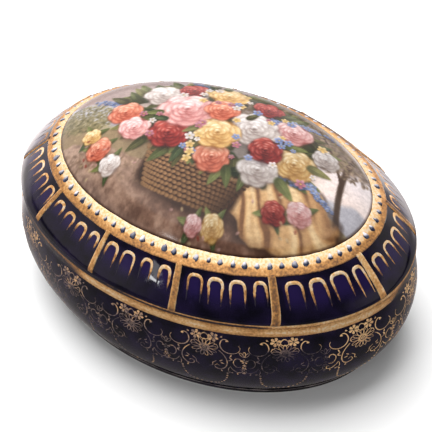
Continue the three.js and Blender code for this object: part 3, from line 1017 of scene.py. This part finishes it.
def foliage(count, seed, middle, reach, size, dark, light, strength):
    """Many small leaf touches scattered over an oval."""
    chance = np.random.default_rng(seed)
    for turn, away, tone_share, long, heading in chance.uniform(0, 1, (count, 5)):
        x = middle[0] + reach[0] * math.sqrt(away) * math.cos(2 * math.pi * turn)
        y = middle[1] + reach[1] * math.sqrt(away) * math.sin(2 * math.pi * turn)
        tone = blend(dark, light, tone_share ** 1.4)
        long = size * (0.6 + 0.8 * long)
        daub(x, y, 2 * math.pi * heading, long, long * 0.42, tone * 0.9, tone, strength, 0.6, 0.5)


def leaf(x, y, turn, long, tone):
    """Pointed leaf with a shadow, a lit half and a midrib."""
    wide = long * 0.36
    tone = np.asarray(tone)
    vein = blend(tone, (0.8, 0.78, 0.55), 0.4)
    lit = 0.3 + 0.3 * math.cos(turn - sun)
    daub(x + 0.3, y - 0.5, turn, long, wide * 1.15, tone * 0.35, tone * 0.35, 0.5, 0.5, 0.6)
    daub(x, y, turn, long, wide, tone * 0.55, tone, 0.96, 0.18, 0.6)
    side = wide * 0.42
    daub(x - math.sin(turn) * side, y + math.cos(turn) * side, turn, long * 0.8, wide * 0.42,
         tone, blend(tone, (0.84, 0.84, 0.62), max(0.0, lit)), 0.55, 0.5, 0.5)
    daub(x, y, turn, long * 0.85, 0.2, vein, vein, 0.5, 0.6)


def rose(x, y, size, tones, seed):
    """Full-blown rose: rings of petals from the outside in, each with a shaded root and a lit edge."""
    chance = np.random.default_rng(seed)
    pale, full, deep = (np.asarray(tone) for tone in tones)
    depth = 1 - 0.16 * max(0.0, min(1.0, (x - y * 0.6 + 4) / 34))
    pale, full, deep = pale * depth, full * depth, deep * depth
    daub(x + 0.06 * size, y - 0.14 * size, 0, size * 1.14, size * 1.1, deep * 0.4, deep * 0.4, 0.6, 0.45)
    daub(x, y, 0, size, size * 0.95, deep, deep, 0.95, 0.2)
    rings = [(7, 0.62, 0.44, 0.46), (6, 0.44, 0.37, 0.42), (6, 0.3, 0.29, 0.3), (5, 0.17, 0.22, 0.22)]
    rings.append((3, 0.07, 0.13, 0.15))
    for ring, (count, distance, long, wide) in enumerate(rings):
        for k in range(count):
            angle = 2 * math.pi * (k + 0.5 * ring) / count + chance.uniform(-0.3, 0.3)
            away = distance * size * chance.uniform(0.88, 1.1)
            px = x + math.cos(angle) * away
            py = y + math.sin(angle) * away * 0.93
            lit = 0.5 + 0.5 * math.cos(angle - sun)
            root = blend(deep, full, 0.1 + 0.45 * lit)
            tip = blend(full, pale, 0.05 + 0.95 * lit ** 1.3)
            rim_tone = blend(tip, (1, 0.97, 0.9), 0.4)
            daub(px, py - 0.03 * size, angle, long * size * 1.1, wide * size * 1.1, deep, deep, 0.6, 0.25)
            daub(px, py, angle, long * size, wide * size, root, tip, 0.92, 0.25)
            edge_away = (distance + long * 0.7) * size
            edge_x = x + math.cos(angle) * edge_away
            edge_y = y + math.sin(angle) * edge_away * 0.93
            daub(edge_x, edge_y, angle + math.pi / 2, wide * size * 0.68, 0.06 * size,
                 rim_tone, rim_tone, 0.15 + 0.55 * lit, 0.8)
    daub(x, y, 0.6, 0.1 * size, 0.06 * size, deep * 0.7, deep, 0.8, 0.5)
    daub(x + 0.32 * size, y - 0.4 * size, -0.8, size * 0.66, size * 0.5, deep, deep, 0.3, 1)


def small_flower(x, y, size, petal, turn):
    """Open flower of five round petals with a yellow heart."""
    petal = np.asarray(petal)
    daub(x + 0.2, y - 0.3, 0, size * 1.1, size, petal * 0.3, petal * 0.3, 0.5, 0.5)
    for k in range(5):
        angle = turn + 2 * math.pi * k / 5
        lit = 0.35 * (0.5 + 0.5 * math.cos(angle - sun))
        px = x + math.cos(angle) * size * 0.55
        py = y + math.sin(angle) * size * 0.52
        tip = blend(petal, (1, 1, 1), lit)
        daub(px, py, angle, size * 0.5, size * 0.38, petal * 0.7, tip, 0.95, 0.25)
    daub(x, y, 0, size * 0.2, size * 0.2, (0.55, 0.4, 0.15), (0.9, 0.78, 0.4), 1, 0.4)


def stem(start, aim, end, wide, tone):
    """Bowed line of overlapping touches. Gives back points along it."""
    places = []
    for t in np.linspace(0, 1, 40):
        places.append([(1 - t) ** 2 * start[k] + 2 * t * (1 - t) * aim[k] + t * t * end[k] for k in (0, 1)])
    for (x0, y0), (x1, y1) in zip(places, places[1:]):
        long = math.dist((x0, y0), (x1, y1)) * 0.8 + wide
        daub((x0 + x1) / 2, (y0 + y1) / 2, math.atan2(y1 - y0, x1 - x0), long, wide, tone, tone, 0.8, 0.5)
    return places


# Sky, hills and water
canvas[:] = blend((0.96, 0.87, 0.79), (0.77, 0.8, 0.85), np.clip((upward + 6) / 46, 0, 1)[..., None])
billows = mottle(17, 1) + 0.5 * mottle(8, 2) + 0.25 * mottle(3.5, 3)
wash(np.clip(billows * 0.65 - 0.05, 0, 0.55), (0.98, 0.92, 0.86))
wash(np.clip(-billows * 0.55 - 0.1, 0, 0.4), (0.7, 0.7, 0.74))
edge_share = np.hypot(across * mm / field_length, upward * mm / field_width)
towards_top_left = edge_share * np.clip(0.5 - across / 50 + upward / 60, 0, 1)
wash(np.clip(1.7 * towards_top_left - 0.55 + 0.15 * mottle(7, 46), 0, 0.72), (0.52, 0.43, 0.39))
far_ridge = -1 + 3.2 * np.sin(across / 11 + 1) + 1.3 * np.sin(across / 4.3) + 0.8 * mottle(3, 4)
wash((far_ridge - upward) / 1.5, (0.7, 0.69, 0.69))
near_ridge = -8 + 2.6 * np.sin(across / 8 + 3.2) + 1.1 * mottle(2.5, 5)
wash((near_ridge - upward) / 1.2, (0.62, 0.57, 0.45))
wash(-12.5 + 0.8 * mottle(3, 6) - upward, (0.55, 0.47, 0.35))

# Dusky trees on the right and above, bushes on the left
shade = 1 - np.hypot((across - 31) / 34, (upward - 28) / 24) + 0.22 * mottle(6, 7) + 0.12 * mottle(2.4, 8)
wash(np.clip(shade * 3, 0, 0.86), (0.43, 0.35, 0.29))
stem((59, -14), (50, 4), (49, 24), 1.5, (0.25, 0.18, 0.13))
stem((51, 6), (44, 16), (32, 28), 0.7, (0.25, 0.18, 0.13))
foliage(1900, 11, (31, 27), (35, 22), 1.5, (0.27, 0.21, 0.16), (0.72, 0.62, 0.49), 0.6)
foliage(600, 12, (29, 25), (29, 18), 1.2, (0.36, 0.33, 0.2), (0.7, 0.62, 0.45), 0.5)
foliage(700, 13, (-53, -8), (14, 8), 1.2, (0.33, 0.31, 0.2), (0.66, 0.6, 0.42), 0.6)
wash(np.clip(1.5 - 1.5 * np.hypot((across - 4) / 44, (upward - 1) / 31), 0, 0.62), (0.29, 0.23, 0.17))

# Ground and ledge
ground = np.clip(-21 + 1.4 * np.sin(across / 9) + 0.8 * mottle(3, 9) - upward, 0, 1)
grain = mottle(5, 21) + 0.6 * mottle(1.8, 22) + 0.4 * mottle(0.8, 23)
stone = blend((0.42, 0.31, 0.25), (0.66, 0.55, 0.46), np.clip((8 - across) / 55, 0, 1)[..., None])
wash(ground, stone)
wash(ground * np.clip(grain * 0.45, 0, 0.55), (0.74, 0.62, 0.52))
wash(ground * np.clip(-grain * 0.45, 0, 0.55), (0.27, 0.2, 0.17))
foliage(500, 14, (0, -27), (60, 5), 1.4, (0.34, 0.26, 0.2), (0.66, 0.54, 0.42), 0.4)
wash(np.clip(1.6 - 1.6 * np.hypot((across - 8) / 27, (upward + 31) / 5), 0, 0.75), (0.18, 0.125, 0.1))

# Cloth of old gold, thrown over the ledge on the right
hem = 0.05 * np.sin(5 * np.arctan2(upward + 16, across - 37) + 1.2)
hem = hem + 0.09 * mottle(7, 41) + 0.03 * mottle(2.5, 42)
cloth_edge = np.hypot((across - 37) / 24, (upward + 18) / 15) + hem
wash(np.clip((1.12 - cloth_edge) * 6, 0, 0.6), (0.2, 0.14, 0.11))
cloth = np.clip((1 - cloth_edge) * 16, 0, 1)
run = 21 * np.arctan2(upward - 6, across - 14) + 2.4 * mottle(10, 43)
folds = 0.65 * np.sin(run) + 0.35 * np.sin(run * 2.2 + 1.7 * mottle(6, 44)) + 0.12 * mottle(2, 45)
wash(cloth, (0.76, 0.6, 0.4))
wash(cloth * np.clip(folds * 0.9, 0, 0.75), (0.9, 0.79, 0.59))
wash(cloth * np.clip(-folds * 0.9, 0, 0.7), (0.53, 0.37, 0.24))
wash(cloth * np.clip(-folds * 2 - 1, 0, 0.6), (0.33, 0.21, 0.14))
wash(cloth * np.clip((cloth_edge - 0.8) * 4, 0, 0.45), (0.5, 0.35, 0.22))
wash(cloth * np.clip(mottle(0.9, 46) * 0.25, 0, 0.2), (0.5, 0.36, 0.24))

# Wicker basket
basket_x = 3
body = ((across - basket_x) / 21.5) ** 4 + ((upward + 23) / 9.5) ** 4
wash(np.clip((1 - body) * 3, 0, 1), (0.2, 0.13, 0.09))
for row in range(9):
    level = row / 8
    for k in range(26):
        share = (k + 0.5 * (row % 2)) / 25.5 * 2 - 1
        bulge = math.cos(share * 1.3)
        x = basket_x + (16.5 + 5 * level) * math.sin(share * 1.45)
        y = -30 + 13.5 * level - 1.8 * bulge
        lit = 0.4 + 0.35 * bulge - 0.35 * share
        tone = blend((0.2, 0.12, 0.08), (0.8, 0.6, 0.4), min(1.0, max(0.0, lit)))
        daub(x, y, 0.25 if k % 2 else -0.2, 1.3 * (0.45 + 0.6 * bulge), 0.78, tone * 0.5, tone, 0.95, 0.35)
for k in range(44):
    share = k / 43 * 2 - 1
    bulge = math.cos(share * 1.4)
    x = basket_x + 21.8 * math.sin(share * 1.5)
    y = -15.4 - 2.2 * bulge
    tone = blend((0.26, 0.17, 0.11), (0.86, 0.68, 0.47), 0.45 + 0.35 * bulge - 0.25 * share)
    daub(x, y, 0.5 if k % 2 else -0.4, 1.3, 0.66, tone * 0.6, tone, 0.95, 0.35)

# Leaves and blue sprays behind the flowers
greens = [(0.33, 0.36, 0.2), (0.44, 0.46, 0.26), (0.27, 0.32, 0.2), (0.5, 0.48, 0.28), (0.31, 0.3, 0.17)]
chance = np.random.default_rng(31)
for k in range(96):
    angle = 2 * math.pi * k / 96 + chance.uniform(-0.1, 0.1)
    away = chance.uniform(0.72, 1.1)
    x = 2 + 40 * away * math.cos(angle)
    y = 5 + 24 * away * math.sin(angle)
    heading = angle + chance.uniform(-0.5, 0.5)
    if y > -18:
        leaf(x, y, heading, chance.uniform(4.4, 7), greens[k % 5])
for k in range(64):
    x = 2 + 34 * chance.uniform(-1, 1)
    y = 4 + 19 * chance.uniform(-1, 1)
    leaf(x, y, chance.uniform(0, 2 * math.pi), chance.uniform(3.8, 6), np.asarray(greens[k % 5]) * 0.7)
sprays = [((15, 16), (26, 27), (41, 29)), ((-15, 18), (-20, 31), (-32, 34))]
sprays += [((-33, -3), (-46, 4), (-54, 1)), ((33, -6), (46, -3), (54, -8))]
for start, aim, end in sprays:
    places = stem(start, aim, end, 0.3, greens[0])
    for k, (x, y) in enumerate(places[4::3]):
        size = 2.4 * (1.1 - 0.06 * k)
        for side in (-1, 1):
            blue = blend((0.3, 0.36, 0.52), (0.56, 0.62, 0.76), chance.uniform(0, 1))
            dx = side * size * 0.7 + chance.uniform(-0.5, 0.5)
            small_flower(x + dx, y + chance.uniform(-1.2, 1.2), size * 0.8, blue, chance.uniform(0, 6))

# Roses
cream = ((0.98, 0.9, 0.7), (0.88, 0.72, 0.43), (0.58, 0.39, 0.19))
blush = ((0.98, 0.89, 0.85), (0.88, 0.67, 0.62), (0.6, 0.33, 0.31))
white = ((0.97, 0.95, 0.91), (0.83, 0.79, 0.73), (0.52, 0.45, 0.41))
crimson = ((0.8, 0.37, 0.3), (0.6, 0.17, 0.14), (0.28, 0.06, 0.07))
coral = ((0.95, 0.71, 0.57), (0.83, 0.46, 0.34), (0.52, 0.22, 0.16))
bouquet = [(-29, 12, 7.8, white), (26, 17, 7.6, blush), (-6, 24, 8, cream), (34, 1, 8.2, cream)]
bouquet += [(-37, -3, 6.8, coral), (11, 25, 6.2, crimson), (-20, 21, 6, crimson), (42, 12, 5.4, white)]
bouquet += [(-15, -8, 8.2, crimson), (24, -9, 7.6, white), (-29, -10, 6.2, blush), (6, -12, 7, coral)]
bouquet += [(13, 9, 10.2, white), (-15, 7, 11, blush), (2, 0, 9, cream), (22, 1, 7, crimson)]
bouquet.append((-3, 13, 6.8, coral))
for number, (x, y, size, tones) in enumerate(bouquet):
    rose(x, y, size, tones, 50 + number)

# Leaves and small flowers between and in front
front_leaves = [(-24, -17, 4.2, 5.4), (15, -17, 5.2, 5.4), (36, -11, 5.8, 6), (-7, -16, 4.6, 5)]
front_leaves += [(31, 9, 0.4, 4.8), (-44, 4, 2.9, 5.4), (-40, 8, 2.4, 5), (-11, 33, 1.9, 5)]
front_leaves += [(3, 33, 1.3, 5), (20, 27, 0.9, 5), (43, 4, 0.1, 5.4), (-26, 0, 3.6, 4.4)]
front_leaves += [(9, 16, 1.2, 4), (-8, -3, 4, 4), (-22, -2, 3.3, 3.8)]
for x, y, turn, long in front_leaves:
    leaf(x, y, turn, long, greens[abs(x) % 5])
chance = np.random.default_rng(71)
posies = [(0.93, 0.88, 0.82), (0.93, 0.76, 0.45), (0.72, 0.42, 0.46), (0.5, 0.56, 0.72)]
posy_count = 50
placed = 0
while placed < posy_count:
    angle = chance.uniform(0, 2 * math.pi)
    away = chance.uniform(0.2, 1.08)
    x = 2 + 40 * away * math.cos(angle)
    y = 5 + 22 * away * math.sin(angle)
    size = chance.uniform(1.2, 2.2)
    clear = all(math.dist((x, y), (rx, ry)) > 0.78 * rose_size for rx, ry, rose_size, tones in bouquet)
    if clear and y > -17:
        small_flower(x, y, size, posies[placed % 4], chance.uniform(0, 6))
        placed += 1

# Fallen flowers and petals
fallen = [(45, -16, 4.8, blush), (37, -21, 4.6, crimson), (-38, -22, 5.2, coral), (-30, -27, 4.4, white)]
fallen += [(-44, -17, 3.8, cream), (19, -35, 4.4, cream), (12, -37, 3.4, blush)]
for x, y, size, tones in fallen:
    for k in range(3):
        heading = 2.1 * k + chance.uniform(0, 1.6)
        root = (x + size * 0.9 * math.cos(heading), y + size * 0.9 * math.sin(heading))
        leaf(*root, heading, chance.uniform(3, 4.2), greens[k])
for number, (x, y, size, tones) in enumerate(fallen):
    rose(x, y, size, tones, 90 + number)
for number in range(36):
    x, y, size, tones = fallen[number % len(fallen)]
    x += chance.uniform(-10, 10)
    y += chance.uniform(-7, 3)
    tone = np.asarray([(0.8, 0.62, 0.56), (0.8, 0.7, 0.52), (0.56, 0.24, 0.2)][number % 3])
    if abs(x - basket_x) > 23 or y < -33:
        daub(x, y, chance.uniform(0, 3), 1.0, 0.6, tone * 0.6, tone, 0.75, 0.5)

# Brushwork, and the darker line where the painting meets its border
canvas *= 1 + (0.05 * mottle(1.1, 101) + 0.03 * mottle(0.6, 102))[..., None]
canvas *= np.array([0.93, 0.925, 0.96])
wash(np.clip((edge_share - 0.984) * 60, 0, 0.8), (0.2, 0.13, 0.1))

# Mesh: a square grid rounded to the oval, lifted onto the dome and closed underneath
grid_steps = 284
paint_depth = 0.3 * mm
painting_fit = 0.9975
tiny = 1e-9
bpy.ops.object.select_all(action="DESELECT")
bpy.ops.mesh.primitive_grid_add(x_subdivisions=grid_steps, y_subdivisions=grid_steps, size=2)
painting = bpy.context.object
painting.name = "painted_dome"
square = np.zeros(len(painting.data.vertices) * 3)
painting.data.vertices.foreach_get("co", square)
square = square.reshape(-1, 3)
a = square[:, 0]
b = square[:, 1]
toward_x = np.abs(a) >= np.abs(b)
turn = np.where(toward_x, math.pi / 4 * b / (a + np.where(a == 0, tiny, 0)), 0)
turn = np.where(toward_x, turn, math.pi / 2 - math.pi / 4 * a / (b + np.where(b == 0, tiny, 0)))
signed = np.where(toward_x, a, b)
disc_x = signed * np.cos(turn) * painting_fit
disc_y = signed * np.sin(turn) * painting_fit
dome_lengths = [length for length, z in dome]
dome_heights = [z for length, z in dome]
height = np.interp(np.hypot(disc_x, disc_y) * field_length, dome_lengths, dome_heights)
dome_spots = np.stack([disc_x * field_length, disc_y * field_width, height], axis=1)
painting.data.vertices.foreach_set("co", dome_spots.ravel())
painting.data.update()
bpy.ops.object.mode_set(mode="EDIT")
bpy.ops.mesh.select_all(action="SELECT")
bpy.ops.mesh.region_to_loop()
bpy.ops.mesh.extrude_region_move(TRANSFORM_OT_translate={"value": (0, 0, -paint_depth)})
share = painting_fit
for next_share in (0.9, 0.75, 0.6, 0.42, 0.25, 0.1):
    bpy.ops.mesh.extrude_region_move()
    bpy.ops.transform.resize(value=(next_share / share, next_share / share, 1), center_override=(0, 0, 0))
    step_up = np.interp(next_share * field_length, dome_lengths, dome_heights)
    step_up -= np.interp(share * field_length, dome_lengths, dome_heights)
    bpy.ops.transform.translate(value=(0, 0, float(step_up)))
    share = next_share
bpy.ops.mesh.extrude_region_move()
bpy.ops.mesh.merge(type="CENTER")
bpy.ops.mesh.select_all(action="SELECT")
bpy.ops.mesh.normals_make_consistent(inside=False)
bpy.ops.object.mode_set(mode="OBJECT")
bpy.ops.object.shade_smooth_by_angle(angle=math.radians(38))

# Colours: each point of the mesh takes up the canvas's colour at its place
spots = np.zeros(len(painting.data.vertices) * 3)
painting.data.vertices.foreach_get("co", spots)
spots = spots.reshape(-1, 3) / mm
column = np.clip((spots[:, 0] + canvas_length) / canvas_step - 0.5, 0, columns - 1.001)
row = np.clip((spots[:, 1] + canvas_width) / canvas_step - 0.5, 0, rows - 1.001)
left = column.astype(int)
low = row.astype(int)
along = (column - left)[:, None]
up = (row - low)[:, None]
below = canvas[low, left] * (1 - along) + canvas[low, left + 1] * along
above = canvas[low + 1, left] * (1 - along) + canvas[low + 1, left + 1] * along
colours = np.ones((len(spots), 4))
colours[:, :3] = np.clip(below * (1 - up) + above * up, 0, 1) ** 2.2
enamels = painting.data.color_attributes.new("enamels", "FLOAT_COLOR", "POINT")
enamels.data.foreach_set("color", colours.ravel())

picture_enamel, shader = new_material("picture_enamel", roughness=0.14, ior=1.5)
painted = picture_enamel.node_tree.nodes.new("ShaderNodeAttribute")
painted.attribute_name = "enamels"
fine = ramp(picture_enamel, clouds(picture_enamel, 1500, 3), [(0.3, (0.84, 0.84, 0.84)), (0.7, (1, 1, 1))])
touched = picture_enamel.node_tree.nodes.new("ShaderNodeMix")
touched.data_type = "RGBA"
touched.blend_type = "MULTIPLY"
touched.inputs[0].default_value = 1
picture_enamel.node_tree.links.new(painted.outputs["Color"], touched.inputs[6])
picture_enamel.node_tree.links.new(fine, touched.inputs[7])
picture_enamel.node_tree.links.new(touched.outputs[2], shader.inputs["Base Color"])
relief(picture_enamel, clouds(picture_enamel, 900, 3), depth=0.1 * mm, strength=0.12)
painting.data.materials.append(picture_enamel)
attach(painting, "lid")
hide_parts("painted_field")


# Camera: at the photograph's angle, a little turned, with a long lens.
view_azimuth = math.radians(29.9)
view_elevation = math.radians(45.6)
view_roll = math.radians(-0.9)
view_distance = 585.2 * mm
view_shift = 0.631
aim_height = 40.95 * mm
back = Vector((
    math.sin(view_azimuth) * math.cos(view_elevation),
    -math.cos(view_azimuth) * math.cos(view_elevation),
    math.sin(view_elevation),
))
right = Vector((0, 0, 1)).cross(back).normalized()
up = back.cross(right)
level_right = right * math.cos(view_roll) + up * math.sin(view_roll)
level_up = up * math.cos(view_roll) - right * math.sin(view_roll)
aim = right * view_shift * mm + Vector((0, 0, aim_height))
lens = bpy.data.cameras.new("camera")
lens.lens = 121.63
lens.sensor_width = 36
camera = bpy.data.objects.new("camera", lens)
bpy.context.collection.objects.link(camera)
camera.matrix_world = Matrix((level_right, level_up, back)).transposed().to_4x4()
camera.location = aim + back * view_distance
bpy.context.scene.camera = camera
bpy.context.scene.view_settings.view_transform = "Standard"


# Studio: a white table under a white sky, a broad lamp overhead, a weak one in front, and two small window
# panes that show on the shoulder. The room round the box is seen only in reflections: dark on the camera's
# side, grey at the sides and bright behind, where its floor dims again straight behind the box.


def seen_light(tree):
    """1 for rays from the camera, mirrored or through glass too, and 0 for all other light."""
    rays = tree.nodes.new("ShaderNodeLightPath")
    seen = tree.nodes.new("ShaderNodeMath")
    seen.operation = "ADD"
    seen_too = tree.nodes.new("ShaderNodeMath")
    seen_too.operation = "ADD"
    tree.links.new(rays.outputs["Is Camera Ray"], seen.inputs[0])
    tree.links.new(rays.outputs["Is Glossy Ray"], seen.inputs[1])
    tree.links.new(seen.outputs["Value"], seen_too.inputs[0])
    tree.links.new(rays.outputs["Is Transmission Ray"], seen_too.inputs[1])
    return seen_too.outputs["Value"]


bpy.ops.object.select_all(action="DESELECT")
bpy.ops.mesh.primitive_circle_add(vertices=64, radius=1.1, fill_type="NGON", location=(0, 0, -0.05 * mm))
table = bpy.context.object
table.name = "table"
table_white, shader = new_material("table_white", roughness=0.9, ior=1.3)
shader.inputs["Base Color"].default_value = (0.86, 0.86, 0.86, 1)
shader.inputs["Emission Color"].default_value = (1, 1, 1, 1)
glow = table_white.node_tree.nodes.new("ShaderNodeMath")
glow.operation = "MULTIPLY"
glow.inputs[1].default_value = 0.03
table_white.node_tree.links.new(seen_light(table_white.node_tree), glow.inputs[0])
table_white.node_tree.links.new(glow.outputs["Value"], shader.inputs["Emission Strength"])
table.data.materials.append(table_white)

world = bpy.data.worlds.new("white_sky")
bpy.context.scene.world = world
world.use_nodes = True
sky = world.node_tree.nodes["Background"]
sky.inputs["Color"].default_value = (1, 1, 1, 1)
sky_strength = world.node_tree.nodes.new("ShaderNodeMapRange")
sky_strength.inputs["To Min"].default_value = 0.3
sky_strength.inputs["To Max"].default_value = 1
world.node_tree.links.new(seen_light(world.node_tree), sky_strength.inputs["Value"])
world.node_tree.links.new(sky_strength.outputs["Result"], sky.inputs["Strength"])


def lamp(name, power, width, height, place, target):
    """Rectangular lamp that faces a point."""
    light = bpy.data.lights.new(name, "AREA")
    light.shape = "RECTANGLE"
    light.size = width
    light.size_y = height
    light.energy = power
    stand = bpy.data.objects.new(name, light)
    bpy.context.collection.objects.link(stand)
    stand.location = place
    stand.rotation_euler = (Vector(place) - Vector(target)).to_track_quat("Z", "Y").to_euler()
    stand.visible_camera = False
    return stand


box_middle = (0, 0, 0.03)
overhead = lamp("overhead_lamp", 20, 0.95, 0.95, (-0.25, 0.14, 0.95), box_middle)
overhead.visible_glossy = False
fill = lamp("fill_lamp", 1.2, 0.5, 0.4, (-0.1, -0.85, 0.5), box_middle)
fill.visible_glossy = False
window_face = (0.003, -0.057, 0.057)
lamp("window_pane", 0.026, 0.04, 0.014, (-0.118, -0.42, 0.205), window_face)
lamp("window_pane_above", 0.006, 0.03, 0.026, (-0.128, -0.42, 0.232), window_face)

room_round = 0.52
room_rings = [0.04, 0.055, 0.07, 0.085, 0.1, 0.12, 0.145, 0.17, 0.2, 0.24, 0.3, 0.38, 0.46, room_round]
room_heights = [0, 0.03, 0.038, 0.045, 0.06, 0.09, 0.12, 0.14, 0.16, 0.2, 0.25, 0.27, 0.46]
bpy.ops.object.select_all(action="DESELECT")
bpy.ops.mesh.primitive_circle_add(vertices=180, radius=room_rings[0])
room = bpy.context.object
room.name = "reflected_room"
bpy.ops.object.mode_set(mode="EDIT")
bpy.ops.mesh.select_all(action="SELECT")
bpy.ops.transform.translate(value=(0, 0, 0.3 * mm))
for ring, next_ring in zip(room_rings, room_rings[1:]):
    bpy.ops.mesh.extrude_region_move()
    bpy.ops.transform.resize(value=(next_ring / ring, next_ring / ring, 1), center_override=(0, 0, 0))
for low_z, high_z in zip(room_heights, room_heights[1:]):
    bpy.ops.mesh.extrude_region_move(TRANSFORM_OT_translate={"value": (0, 0, high_z - low_z)})
bpy.ops.object.mode_set(mode="OBJECT")


def room_glow(spot):
    """How bright the room is at a point, where 1 is white."""
    turned = math.degrees(math.atan2(spot.x, -spot.y) - view_azimuth)
    away = abs((turned + 180) % 360 - 180)
    radius = math.hypot(spot.x, spot.y)
    sideways = eased(away, 50, 100)
    behind = eased(away, 107, 121)
    if radius < room_round - 1 * mm or spot.z < 1 * mm:
        near = 1 - eased(radius, 0.12, 0.17)
        shaded = 0.07 + 0.06 * near + 0.32 * sideways
        left = 0.5 - 0.5 * math.sin(math.radians(turned))
        lit = 1.75 + 0.75 * left - 0.9 * near - 1.35 * eased(radius, 0.2, 0.34)
        lit *= 1 - 0.65 * eased(away, 136, 156)
        return shaded + (lit - shaded) * behind
    wave = 0.012 * math.sin(math.radians(away) * 7) + 0.006 * math.sin(math.radians(away) * 17)
    height = spot.z + wave
    wall = 0.02 + 0.4 * eased(away, 34, 62) * eased(height, 0.046, 0.05) * (1 - eased(height, 0.2, 0.27))
    backdrop = 0.85 if spot.z < 0.255 else 0.7
    return wall + (backdrop - wall) * behind


room_light, shader = new_material("room_light", roughness=1, ior=1.1)
shader.inputs["Base Color"].default_value = (0, 0, 0, 1)
shader.inputs["Emission Strength"].default_value = 1
shining = room_light.node_tree.nodes.new("ShaderNodeAttribute")
shining.attribute_name = "glow"
room_light.node_tree.links.new(shining.outputs["Color"], shader.inputs["Emission Color"])
glows = room.data.color_attributes.new("glow", "FLOAT_COLOR", "POINT")
for vertex, place in zip(room.data.vertices, glows.data):
    bright = room_glow(vertex.co)
    place.color = (bright, bright * 0.91, bright * 0.9, 1)
room.data.materials.append(room_light)
room.visible_camera = False
room.visible_diffuse = False
room.visible_shadow = False
